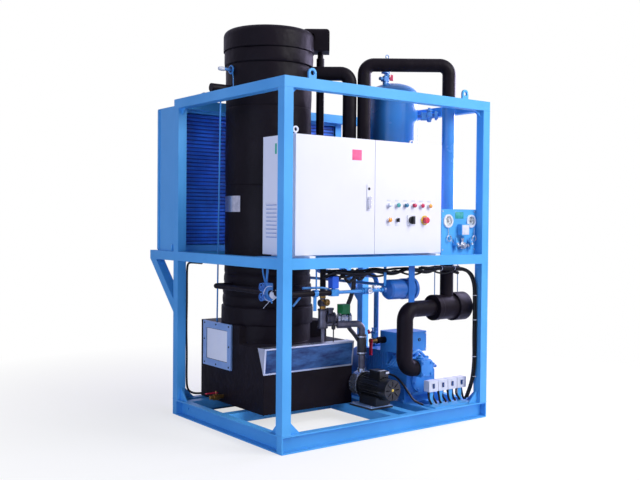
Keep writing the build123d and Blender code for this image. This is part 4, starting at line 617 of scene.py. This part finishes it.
teal = gloss_plastic("acrylic_teal", "#3FA9A6", "#2E9390")
ocean = gloss_plastic("acrylic_blue_green", "#1F7FA6", "#17678A")
crimson = gloss_plastic("acrylic_crimson", "#CC2458", "#AC173F")
amber = gloss_plastic("acrylic_amber", "#F0A94A", "#DB8F34")
pearl = gloss_plastic("acrylic_pearl", "#D9DEE6", "#C9CFDA")
signal_red = gloss_plastic("moulded_signal_red", "#E0344F", "#C4203A")
signal_yellow = gloss_plastic("moulded_signal_yellow", "#F0C93A", "#DDB223")
coat(ocean, "start_button")
coat(crimson, "stop_button")
coat(signal_red, "emergency_stop_button")

forward, right_door = (0, -1, 0), "cabinet_door_right"
first_x, pitch, upper_row, lower_row = 811, 67, 1376, 1286
for count, (place, z, material, body, face_y) in enumerate((
    (0, upper_row, pearl, right_door, 45), (1, upper_row, teal, right_door, 45),
    (2, upper_row, ocean, "start_button", 43), (3, upper_row, crimson, "stop_button", 43),
    (4, upper_row, crimson, right_door, 45), (5, upper_row, amber, right_door, 45),
    (0, lower_row, amber, right_door, 45),
)):
    wide = 12.8 if body.endswith("button") else 14.3
    outline = [(0, 9), (0.5 * wide, 8.4), (0.83 * wide, 6.2), (0.98 * wide, 2.8), (wide, 0), (0, 0)]
    made = turned(outline, (first_x + place * pitch, face_y, z), forward, 32)
    settle(made, f"operator_lens_{count + 1}", material, body, 50)

collar = [(30.4, 0), (30.4, 1.5), (29, 3.6), (23, 3.8), (21.5, 2.5), (21.5, 0)]
collar = turned(collar, (first_x + pitch * 4.42, 57, lower_row), forward, 48)
settle(collar, "emergency_stop_collar", signal_yellow, right_door)
switch_x, half = first_x + pitch * 2.68, 28
badge = slab((switch_x - half, 53.2, lower_row - half), (switch_x + half, 54.2, lower_row + half), 0.3)
settle(badge, "main_switch_plate", pale_powder, right_door)

labels = [
    slab((x - 15, 59.3, z), (x + 15, 60.1, z + 9), 0.3)
    for z, count in ((1399, 6), (1250, 2)) for x in range(first_x, first_x + count * pitch, pitch)
]
tag_plastic = surface("engraved_tag_plastic", "#D5D8E2", "#C7CBD6", 20, 1, 0.02, 0.35, edge_mm=0.3)
settle(labels, "operator_tags", tag_plastic, right_door)

note = surface("pink_note_paper", "#F06C98", "#E85A8A", 30, 1.2, 0.05, 0.7, edge_mm=0.2)
card = slab((524, 58.9, 1632), (595, 59.9, 1693), 0.2)
settle(card, "door_note", note, "cabinet_door_left")
dot_green = surface("green_sticker_vinyl", "#2BB79A", "#1FA388", 30, 1, 0.02, 0.4, edge_mm=0.2)
patch = slab((120.2, 246, 1656), (121.0, 264, 1716), 0.2)
settle(patch, "cabinet_side_sticker", dot_green)

# Painted shade: a thin blue-grey strip just proud of the side under each louvre hood stands for the shaded
# louvre mouth.
painted_louvre_shade = [slab((120.3, 242, 1178.5 + row * 23), (121.4, 350, 1182.5 + row * 23), 0.3) for row in range(9)]
mouth_shade = surface("shaded_louvre_mouth", "#4F7DBE", "#3C68A8", 60, 2, 0.02, 0.6, edge_mm=0.2)
settle(painted_louvre_shade, "cabinet_louvre_painted_shade", mouth_shade)

lock = turned([(0, 1.5), (6, 1.5), (8.6, 1.0), (8.6, 0), (0, 0)], (651, 55.2, 1468), forward, 28)
settle(lock, "door_lock_cap", abs_black, "cabinet_door_left")


# Gauge panel
# Two flush pressure gauges with chromed cases and white enamelled dials with plain scale marks, and a
# pressure control with a blank blue-green plate. Two coiled pipes join the gauges to a cast manifold.

gauge_steel = surface("chromed_gauge_steel", "#F7F8FB", "#ECEEF4", 30, 2, 0.01, 0.34, metal=0.55, edge_mm=0.8)
coat(gauge_steel, "gauge_cases")
coat(abs_black, "gauge_pointer_left", "gauge_pointer_right")
dial_white = surface("enamelled_dial_white", "#F4F5F7", "#EDEEF1", 40, 1, 0.01, 0.3, edge_mm=0.2)
ink = surface("dial_ink", "#2A3550", "#1E2740", 10, 1, 0.005, 0.5, edge_mm=0.1)
acrylic, tree, shader = new_material("clear_acrylic_window")
shader.inputs["Base Color"].default_value = linear("#F7FAFC")
shader.inputs["Transmission Weight"].default_value = 1.0
shader.inputs["IOR"].default_value = 1.49
wear = add(tree, "TexNoise", {"Vector": add(tree, "TexCoord").outputs["Object"]}, {"Scale": 40.0})
haze = add(tree, "MapRange", {"Value": wear.outputs["Fac"]}, {"To Min": 0.02, "To Max": 0.07})
tree.links.new(haze.outputs["Result"], shader.inputs["Roughness"])

gauge_z, dial_radius = 1283, 30.6
for x, side in ((1313, "left"), (1524, "right")):
    dial = [(1.7, 0.2), (1.7, 0.8), (dial_radius, 0.8), (dial_radius, 0.2)]
    settle(turned(dial, (x, 61.6, gauge_z), forward, 40), f"gauge_dial_{side}", dial_white)
    marks = []
    for step in range(11):
        angle = radians(225 - step * 27)
        reach = 23.5 if step % 5 else 20.5
        ends = [(x + out * cos(angle), 60.6, gauge_z + out * sin(angle)) for out in (reach, 28)]
        marks.append(bead(ends, 0.7 if step % 5 else 1.1, False))
    settle(marks, f"gauge_marks_{side}", ink)
    window = turned([(0, 1.2), (dial_radius, 1.2), (dial_radius, 0), (0, 0)], (x, 53.5, gauge_z), forward, 40)
    settle(window, f"gauge_window_{side}", acrylic)

plate = slab((1381, 58.2, 1299), (1456, 60.0, 1342), 0.4)
settle(plate, "pressure_control_plate", teal)
face = slab((1406, 18.6, 1196), (1468, 20.6, 1258), 0.5)
settle(face, "pressure_control_face", tag_plastic)
cocks = [(1372, 30, 1138), (1504, 30, 1138)]
cocks = repeat(lambda place: cast(20, 8, 8, place, forward, 1.0, 3, 1.5), cocks)
settle(cocks, "stop_cock_caps", zinc)
pump_steel = surface(
    "polished_stainless_casting", "#C3C9D4", "#A9B1C0", 60, 2, 0.04, 0.26, metal=0.9, edge_mm=1
)


def strand(points, radius):
    """A pipe, wire or cable on a smooth line near its points."""
    piece, line = round_line("NURBS", points, radius, 3)
    piece.data.resolution_u = 10
    line.order_u = 3
    line.use_endpoint_u = True
    return meshed(piece)


arm = [(0, 0), (9, 0), (9, 16), (14, 18), (14, 30), (0, 32)]
manifold = [
    slab((1412, 34, 1104), (1456, 60, 1146), 3),
    turned(arm, (1412, 46, 1125), leftward, 24),
    turned(arm, (1456, 46, 1125), rightward, 24),
    turned([(0, 0), (8, 0), (8, 14), (12, 16), (12, 26), (0, 28)], (1434, 46, 1146), up, 24),
    turned([(0, 0), (12, 0), (14, 3), (14, 12), (10, 16), (0, 16)], (1434, 34, 1122), forward, 24),
]
settle(manifold, "test_manifold", pump_steel)
pigtails = []
for x, z, turns in ((1316, 1172, 1), (1545, 1172, -1)):
    line = [(x - turns * 6, 52, 1240)]
    for step in range(25):
        angle = radians(90 + turns * step * 30)
        line.append((x + 19 * cos(angle), 50 - step * 0.25, z + 19 * sin(angle)))
    line += [(x + turns * 30, 46, 1150), (1434 - turns * 62, 46, 1128), (1434 - turns * 50, 46, 1125)]
    pigtails.append(strand(line, 1.8))
settle(pigtails, "gauge_pigtails", zinc)
spots = [(x, 60, z) for x in (1268, 1560) for z in (1100, 1345)]
screws("gauge_panel_screws", spots, forward, 5, zinc, 3)


# Separator vessel and suction riser
# Rolled and welded steel shell with dished heads, painted over the weld beads. The fittings on top are
# painted cast steel; the tag is a plastic strip.

vessel_paint = surface("vessel_enamel_blue", "#3D8AD8", "#317ECC", 300, 4, 0.12, 0.26)
coat(vessel_paint, "separator_vessel", "suction_riser")
cast_steel = surface("painted_cast_steel", "#4F92D2", "#3A78BC", 40, 2.5, 0.2, 0.36, edge_mm=1)
coat(cast_steel, "vessel_valves", "hand_valves")
wheel_enamel = surface("handwheel_enamel", "#3D7CCB", "#2B66B5", 30, 2, 0.08, 0.3, edge_mm=0.8)
coat(wheel_enamel, "vessel_handwheel", "lower_handwheel", "upper_handwheel")

vessel_x, vessel_y = 1330, 610
seams = [bead(around((vessel_x, vessel_y, z), 170.6, 72, "xy"), 2.4) for z in (1190, 1660, 2136)]
settle(seams, "vessel_weld_seams", vessel_paint)


def along(origin, direction, distance):
    """The place at a distance from an origin in a direction."""
    return tuple(start + step * distance for start, step in zip(origin, direction))


def hexagons(places, direction, radius, depth, bevel=0.8):
    """Hexagon bolt heads or nuts of one size."""
    return repeat(lambda place: cast(6, radius, depth, place, direction, bevel), places)


slant, level_z = (0.7071, -0.7071, 0), 2000
on_axis = (vessel_x, vessel_y, level_z)
level_valve = turned([
    (0, 0), (26, 0), (26, 12), (15, 14), (15, 36), (25, 40), (28, 56), (25, 72), (15, 76), (15, 92),
    (31, 94), (31, 108), (0, 110),
], along(on_axis, slant, 192), slant, 36)
bonnet_x, bonnet_y, _ = along(on_axis, slant, 248)
bonnet = turned(
    [(0, 0), (17, 0), (17, 14), (22, 16), (22, 26), (9, 28), (9, 40), (0, 42)],
    (bonnet_x, bonnet_y, level_z + 14), up, 28,
)
boss = turned([(0, 0), (16, 0), (16, 22), (12, 26), (0, 26)], (bonnet_x, bonnet_y, 1984), (0, 0, -1), 28)
flange_x, flange_y, _ = along(on_axis, slant, 288)
bolts = [
    (flange_x + 23 * cos(a) * slant[0], flange_y + 23 * cos(a) * slant[0], level_z + 23 * sin(a))
    for a in (0.8, 2.35, 3.9, 5.5)
]
valve = joined([level_valve, bonnet, boss, hexagons(bolts, slant, 6, 20, 0.6)])
settle(valve, "level_valve_body", cast_steel)
hook = bead(around((1300, 640, 2405), 13, 24), 3)
stem = bead([(1300, 640, 2392), (1300, 640, 2205)], 3.5, False)
settle([hook, stem], "vessel_sling_hook", cast_steel)
tag_red = gloss_plastic("red_tag_plastic", "#B8234A", "#A01B3C")
tag = slab((1308, 621, 2242), (1340, 626, 2284), 1.5)
settle(tag, "vessel_tag", tag_red)
bolts = hexagons(around((vessel_x, vessel_y, 1078), 178, 8, "xy"), up, 9, 9)
settle(bolts, "vessel_base_bolts", zinc)


# Compressor
# Cast iron crankcase, motor housing and heads under the same blue enamel; the castings' skin is coarser
# than the rolled steel's. The junction box on top is folded sheet.

iron_paint = surface("enamelled_cast_iron", "#3F92DC", "#2F7CCA", 160, 3, 0.25, 0.38, edge_mm=2.5)
coat(iron_paint, "compressor_body", "compressor_heads", "compressor_terminal_box")
crank_x, crank_z, bank_lean = 1275, 238, 42
bolts = hexagons(around((crank_x, 236, 250), 74, 8, turn=15), forward, 8, 8)
settle(bolts, "compressor_cover_bolts", iron_paint)
spots = [(x, 326, z) for x in (1164, 1386) for z in (430, 535)]
screws("junction_box_screws", spots, forward, 5, zinc, 3)
glass_eye = turned([(0, 3), (12, 3), (15, 5), (19, 5), (19, 0), (0, 0)], (1330, 250, 190), forward, 32)
settle(glass_eye, "oil_sight_glass", chrome)
ribs = [slab((1147, y, 215), (1151, y + 5, 405), 1) for y in range(462, 650, 22)]
settle(ribs, "motor_housing_ribs", iron_paint)


def bank(side, across, y, out):
    """A place on a cylinder bank: across it, along the shaft, and out from the crank."""
    lean = radians(bank_lean * side)
    x, z = across * cos(lean) + out * sin(lean), out * cos(lean) - across * sin(lean)
    return crank_x + x, y, crank_z + z


castings = []
for side in (-1, 1):
    lean = radians(bank_lean * side)
    for y in range(286, 417, 26):
        castings.append(bead([bank(side, -46, y, 158.5), bank(side, 46, y, 158.5)], 4, False))
    for y in range(280, 430, 24):
        castings += [bead([bank(side, rim, y, 74), bank(side, rim, y, 122)], 4.5, False) for rim in (-50, 50)]
    corners = ((-55, 262), (55, 262), (55, 434), (-55, 434))
    castings.append(bead([bank(side, rim, y, 124) for rim, y in corners], 4.5))
    bolts = [bank(side, edge, y, 158) for edge in (-38, 38) for y in (272, 300, 325, 350, 378, 406, 428)]
    castings.append(hexagons(bolts, (sin(lean), 0, cos(lean)), 9, 10, 1))
gas_pipe = [
    bank(-1, 20, 300, 160), (1240, 290, 420), (crank_x, 285, 432), (1310, 290, 420), bank(1, -20, 300, 160),
]
castings += [
    strand(gas_pipe, 11),
    turned(
        [(0, 0), (26, 0), (26, 10), (18, 12), (18, 34), (24, 36), (24, 50), (0, 50)],
        (crank_x, 300, 372), up, 32,
    ),
    cast(6, 24, 16, (1404, 350, 300), rightward, 2),
    cast(6, 15, 12, (1452, 350, 300), rightward, 1.5),
    turned([(0, 0), (24, 0), (26, 3), (26, 10), (12, 14), (12, 26), (0, 26)], (1192, 170, 400), up, 32),
    slab((1146, 108, 296), (1240, 118, 394), 3),
    hexagons([(x, 108, z) for x in (1158, 1228) for z in (308, 382)], forward, 9, 9, 1),
    hexagons([(x, y, 112) for x in (1148, 1402) for y in (282, 318, 802, 838)], up, 9, 10, 1),
    slab((1190, 238, 148), (1360, 250, 168), 3),
]
settle(castings, "compressor_head_castings", iron_paint)
knockout = turned([(7, 0), (11, 0), (11, 4), (9, 5), (7, 5)], (1331, 326, 494), forward, 28)
settle(knockout, "junction_box_knockout", black_oxide)


# Water pump
# Finned aluminium motor in black enamel with a pressed fan cover, and a stainless steel pump head.
# The base is a bright galvanised plate held by four hexagon bolts.

motor_black = surface("black_motor_enamel", "#1D1E22", "#121316", 60, 2, 0.08, 0.34, edge_mm=1)
coat(motor_black, "pump_motor")
coat(pump_steel, "pump_head", "pump_rotor")
pump_x, shaft_z = 940, 226
rim = turned([(79, 0), (86.6, 0.5), (86.6, 8.5), (79, 9)], (pump_x, 411.5, shaft_z), backward, 64)
settle(rim, "pump_flange_rim", pump_steel)
hub = turned([(0, 3.2), (6, 3), (8.4, 1.6), (8.4, 0), (0, 0)], (pump_x, 150, shaft_z), forward, 28)
settle(hub, "fan_cover_centre_mark", signal_yellow)
plate = slab((832, 226, 112), (1010, 438, 115), 0.8)
settle(plate, "pump_base_plate", galvanised)
bolts = hexagons([(x, y, 115) for x in (848, 992) for y in (246, 420)], up, 8, 7)
settle(bolts, "pump_base_bolts", zinc)
lid = slab((902, 230, 330), (978, 334, 336), 2)
settle(lid, "pump_terminal_lid", motor_black)
label = slab((950, 224, 318), (976, 229.8, 330), 0.5)
strip = slab((914, 240, 335.6), (966, 262, 336.6), 0.3)
settle([label, strip], "pump_terminal_label", tag_plastic)


# Water line
# Grey pipe and cast fittings, a bronze regulating valve, and moulded coils on brass stems. One coil is
# green, the refrigerant one at the front blue.

grey_pipe = surface("dull_grey_pipe", "#5F5E6A", "#4A4955", 60, 3, 0.12, 0.4, metal=0.35, edge_mm=1)
coat(grey_pipe, "water_hose")
bronze = surface("cast_bronze", "#B08A4E", "#8C6B38", 30, 2, 0.2, 0.36, metal=0.9, edge_mm=1)
fitting_steel = surface("cast_fitting_grey", "#6E6D79", "#504F5B", 45, 2.5, 0.2, 0.38, metal=0.6, edge_mm=1)
coat(fitting_steel, "water_valves")
coat(bronze, "ball_valves")
coil_resin = surface("moulded_coil_resin", "#2F8F52", "#247A45", 30, 1.5, 0.05, 0.42, edge_mm=2)
tree = coil_resin.node_tree
shader = tree.nodes["Principled BSDF"]
tone = shader.inputs["Base Color"].links[0].from_socket
split = add(tree, "SeparateXYZ", {"Vector": add(tree, "TexCoord").outputs["Object"]})
front = add(tree, "Math", {0: split.outputs["Y"]}, {1: -0.55}, operation="LESS_THAN")
pick = add(tree, "Mix", {0: front.outputs[0], 6: tone}, {7: linear("#1459CC")}, data_type="RGBA")
tree.links.new(pick.outputs[2], shader.inputs["Base Color"])
coat(coil_resin, "solenoid_coils")

bonnet = turned([
    (0, 0), (17, 0), (20, 3), (20, 22), (14, 28), (14, 36), (23, 40), (23, 62), (14, 68), (14, 72),
    (19, 74), (19, 86), (0, 88),
], (700, 560, 709), up, 32)
side = turned(
    [(0, 0), (14, 0), (14, 18), (20, 20), (22, 24), (22, 36), (19, 40), (9, 40), (7, 36), (0, 36)],
    (702, 556, 756), (0.25, -0.97, 0), 32,
)
settle([bonnet, side], "regulating_valve_body", bronze)
water_way, elbow = (-0.912, 0.41, 0), (940, 452, 652)
slate_cast = surface("dark_cast_fitting", "#4B4A56", "#36353F", 30, 2, 0.25, 0.42, metal=0.3, edge_mm=1)
union = turned(
    [(0, 0), (34, 0), (38, 3), (38, 12), (31, 17), (31, 42), (38, 47), (38, 56), (34, 59), (0, 59)],
    (776, 527, 652), water_way, 40,
)
union_cap = turned([(0, 0), (20, 0), (20, 24), (25, 26), (25, 38), (0, 38)], (745, 541, 680), up, 28)
settle([union, union_cap], "water_strainer_body", slate_cast)
pot_rim = turned([(0, 0), (33, 0), (35, 3), (35, 9), (33, 12), (0, 12)], (700, 560, 588), up, 40)
pot_top = turned([(0, 0), (31, 0), (33, 2), (33, 8), (30, 11), (0, 11)], (700, 560, 702), up, 40)
settle([pot_rim, pot_top], "water_pot_rims", slate_cast)
nuts = [cast(6, 33, 16, along(elbow, water_way, distance), water_way, 1.5) for distance in (76, 150)]
nuts.append(turned(
    [(0, 0), (24, 0), (28, 3), (28, 24), (24, 30), (24, 34), (29, 36), (29, 46), (0, 46)],
    along(elbow, water_way, 97), water_way, 36,
))
nuts.append(turned([(0, 0), (24, 0), (26, 2), (26, 8), (17, 12), (0, 12)], (827, 503, 664), up, 32))
settle(nuts, "water_valve_nuts", pump_steel)
stem = cast(6, 12, 12, (827, 503, 672), up, 1)
settle(stem, "coil_stem_nut", bronze)
rubber = surface("rubber_hose", "#222227", "#17171B", 40, 2, 0.1, 0.42, edge_mm=0.5)
sleeve = [(21, 0), (29.6, 0), (30.6, 3), (30.6, 127), (29.6, 130), (21, 130)]
sleeve = turned(sleeve, (940, 452, 413), up, 40)
hose = strand([
    (925, 520, 905), (925, 520, 853), (901, 520, 783), (872, 522, 726), (856, 522, 650), (878, 512, 582),
    (912, 492, 542), (930, 472, 500),
], 14)
settle([sleeve, hose], "rubber_water_hose", rubber)
clamp = [(30.4, 0), (31.8, 0), (31.8, 9), (30.4, 9)]
clamps = [turned(clamp, (940, 452, z), up, 40) for z in (420, 526)]
settle(clamps, "hose_clamps", zinc)

cock = turned(
    [(0, 0), (4, 0), (4, 78), (12, 82), (14, 96), (12, 108), (6, 112), (6, 124), (0, 124)],
    (758, 520, 500), up, 20,
)
grip = slab((738, 514, 622), (782, 526, 632), 3)
settle([cock, grip], "drain_cock", abs_black)


# Refrigerant lines
# Painted copper tube with brazed fittings, a filter in a deeper blue, and small hand valves. The tube's blue
# is set darker than the frame's enamel, and the filter's deeper still, as painted shade from the rail and
# cabinet above; the same tube blue is used on fittings higher up. Bright wire loops hang at the front valve.

# Painted shade: the tube blue is darker than the frame's enamel for the lines under the rail and cabinet.
line_paint = surface("painted_copper_tube", "#3F8ED2", "#307CC2", 60, 2, 0.06, 0.3, metal=0.1)
coat(line_paint, "refrigerant_lines")
# Painted shade: the filter's deeper blue stands for the shade under the mid rail.
coat(surface("drier_enamel_painted_shade", "#2068B8", "#18569F", 120, 2, 0.06, 0.3), "filter_drier")
nuts = hexagons([(x, 100, 862) for x in (634, 706, 786, 450)], rightward, 15, 16, 1)
hanger = slab((812, 97, 884), (832, 102, 1009), 1)
foot = slab((806, 80, 1004), (838, 112, 1008), 1)
settle([nuts, hanger, foot], "flare_nuts_and_hanger", line_paint)
glass_eye = turned([(0, 4), (9, 4), (11, 6), (15, 6), (17, 4), (17, 0), (0, 0)], (678, 70, 862), forward, 28)
body = turned([(0, 0), (12, 0), (12, 30), (9, 32), (9, 44), (0, 44)], (728, 100, 884), rightward, 28)
nub = cast(6, 9, 14, (750, 100, 862), up, 1)
settle([glass_eye, body, nub], "liquid_sight_glass", chrome)
thin = [
    strand([
        (95, 345, 1008), (95, 344, 980), (95, 314, 914), (95, 306, 873), (95, 268, 830), (95, 245, 806),
    ], 4.5),
    strand([(95, 292, 1008), (95, 294, 985), (97, 306, 930), (100, 308, 900)], 7),
    strand([(290, 86, 1008), (290, 86, 950), (290, 86, 882)], 4.5),
    strand([(221, 122, 893), (300, 122, 893), (380, 120, 890), (402, 112, 880)], 7),
    slab((281, 98, 762), (303, 103, 846), 1),
]
ring = turned([(17.5, 0), (21, 0), (21, 26), (17.5, 26)], (279, 100, 862), rightward, 32)
ear = slab((282, 74, 876), (300, 90, 884), 1.5)
settle(thin + [ring, ear], "pipe_hanger_and_thin_lines", line_paint)
rod = strand([(409, 480, 750), (435, 480, 776), (463, 480, 803)], 7)
settle(rod, "tower_stay_rod", line_paint)
oil_body = turned([(0, 0), (15, 0), (18, 3), (18, 30), (12, 34), (12, 44), (0, 44)], (1058, 469, 508), up, 28)
spindle = [(0, 0), (5, 0), (5, 16), (8, 18), (8, 24), (0, 24)]
spindles = [turned(spindle, (1058, y, 552), up, 20) for y in (455, 483)]
bridge = slab((1048, 446, 536), (1068, 492, 554), 3)
settle([oil_body, bridge] + spindles, "oil_valve_bonnet", line_paint)
cap = turned([(0, 0), (9, 0), (10, 3), (7, 26), (0, 28)], (1046, 500, 536), (-0.3, 0.2, 1), 24)
settle(cap, "oil_valve_cap", signal_red)
coat(signal_red, "oil_valve_lever", "drain_valve_lever")

bright_wire = surface("bright_steel_wire", "#D9DEE8", "#C2C9D6", 30, 2, 0.01, 0.3, metal=0.7, edge_mm=0.2)
loop = []
for step in range(17):
    angle = radians(70 + step * 20)
    side_step, rise = 36 * cos(angle), 44 * sin(angle)
    loop.append((92 + 0.796 * side_step, 262 - 0.605 * side_step, 858 + rise))
tail = [(95, 262, 820), (95, 290, 800), (95, 335, 768)]
settle([strand(loop, 2), strand(tail, 1.8)], "valve_wire_loops", bright_wire)
plug = [(0, 0), (20, 0), (24, 4), (24, 20), (18, 26), (12, 40), (0, 42)]
plug = turned(plug, (108, 246, 852), (-0.6, -0.8, 0.1), 32)
settle(plug, "white_valve_cap", tag_plastic)


# Tower's own fittings
# A probe pocket with a pale cap through the foam, held by a ring, and the wire that hangs from it. A thin
# blank plate is bent round the jacket, and the riser beside the tower ends its foam at a bronze union.

pocket = [(0, -60), (9, -60), (9, 40), (11, 41), (11, 52), (9, 53), (0, 54)]
pocket = turned(pocket, (212, tower_y, 2231), leftward, 24)
settle(pocket, "probe_pocket", cast_steel)
cap = turned([(0, 0), (13, 0), (14, 3), (13, 32), (8, 39), (0, 41)], (162, tower_y, 2231), leftward, 28)
settle(cap, "probe_cap", tag_plastic)
circle = around((212, 900, 2231), 24, 32, "yz")
wire = strand([(212, 884, 2218), (213, 878, 2190), (211, 872, 2150), (208, 866, 2110), (205, 862, 2080)], 3)
settle([bead(circle, 5.5), wire], "probe_ring_and_wire", line_paint)

plate_radius, plate_from = 282.6, radians(160)
edge_x, edge_y = tower_x + plate_radius * cos(plate_from), tower_y + plate_radius * sin(plate_from)
plate = drawn([at(edge_x, edge_y, z) for z in (1329, 1363, 1397, 1431)])
bpy.ops.mesh.spin(steps=20, angle=radians(38), center=at(tower_x, tower_y, 0), axis=(0, 0, -1))
bpy.ops.mesh.select_all(action="SELECT")
bpy.ops.mesh.normals_make_consistent(inside=False)
mode("OBJECT")
thickened(plate, 0.001, 0)
settle(plate, "blank_rating_plate", zinc)
riser_x, riser_y = 818, 763
sleeve = strand([(riser_x, riser_y, z) for z in (1700, 1900, 2200, 2352)], 26)
settle(sleeve, "riser_foam_sleeve", rubber_foam)
union = [(0, 0), (17, 0), (17, 12), (13, 14), (13, 30), (18, 32), (18, 42), (0, 42)]
union = turned(union, (riser_x, riser_y, 2350), up, 28)
settle(union, "riser_union", bronze)


# Small boxes and cables
# Four moulded switch boxes with dark windows. The cables are PVC-sheathed, tied in a bundle under the
# rail and down the post.

coat(tag_plastic, "control_boxes")
box_lefts = (1206, 1291, 1376, 1461)
windows = [slab((x + 32, 98.6, 212), (x + 50, 101.0, 243), 0.4) for x in box_lefts]
window_blue = gloss_plastic("smoked_blue_window", "#23467E", "#16305E")
settle(windows, "box_windows", window_blue)
sheath = surface("pvc_cable_sheath", "#141519", "#0D0E11", 40, 1.5, 0.05, 0.48, edge_mm=0.5)
sheath.node_tree.nodes["Principled BSDF"].inputs["Specular IOR Level"].default_value = 0.22
coat(sheath, "cables")
tails = []
for x in box_lefts:
    for shift in (14, 58):
        sway = random.uniform(-8, 8)
        tails.append(strand([
            (x + shift, 122, 193), (x + shift + sway, 118, 172), (x + shift + sway * 1.5, 112, 150),
            (x + shift - sway, 104, 126), (x + shift + 10, 100, 114),
        ], 7))
settle(tails, "box_cable_tails", sheath)
route = [
    (1110, 92, 990), (1230, 96, 978), (1345, 90, 984), (1455, 84, 978), (1526, 58, 952), (1553, 42, 870),
    (1550, 40, 760), (1558, 43, 640), (1552, 40, 520), (1558, 42, 400), (1551, 42, 290), (1546, 60, 205),
    (1536, 92, 124),
]
leads = []
for dx, dy in ((-9, -3), (3, -9), (9, 4), (-3, 9), (0, 0)):
    leads.append(strand([
        (x + dx + random.uniform(-2, 2), y + dy, z + random.uniform(-2, 2) + dx * 0.5) for x, y, z in route
    ], 5.2))
settle(leads, "post_cable_bundle", sheath)
pump_lead = strand([
    (972, 300, 302), (1022, 300, 304), (1076, 274, 284), (1112, 240, 232), (1134, 206, 172),
    (1152, 172, 124), (1190, 138, 110),
], 7)
settle(pump_lead, "pump_lead", sheath)
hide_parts("cables")
looms = []
for lift, sag, y in ((992, 30, 84), (998, 18, 96), (986, 44, 104), (1000, 52, 112), (990, 12, 120)):
    line = []
    for step in range(13):
        x = 360 + step * 92
        dip = sag * abs(sin(step * pi / 3 + sag)) + random.uniform(-5, 5)
        line.append((x, y + random.uniform(-4, 4), lift - dip))
    looms.append(strand(line, random.choice((6, 8, 10))))
for x, z in ((470, 955), (560, 935), (640, 948)):
    looms.append(strand([
        (x - 60, 120, 990), (x - 30, 124, z), (x, 122, z - 24), (x + 34, 120, z), (x + 60, 116, 992),
    ], 9))
settle(looms, "rail_cable_looms", sheath)
drop = strand([
    (70, 1010, 1000), (68, 1120, 1000), (68, 1180, 996), (68, 1198, 972), (67, 1200, 900), (69, 1201, 750),
    (66, 1202, 560), (70, 1200, 400), (67, 1199, 240), (72, 1196, 160), (100, 1170, 138), (140, 1148, 136),
    (206, 1125, 140),
], 7)
settle(drop, "probe_cable", sheath)
ties = [bead(around((x, y, 981), 15.5, 20, "yz"), 1.5) for x, y in ((1290, 93), (1400, 87))]
ties += [bead(around((1553, 42, z), 14.5, 20, "xy"), 1.5) for z in (800, 640, 400, 270)]
settle(ties, "cable_ties", tag_plastic)
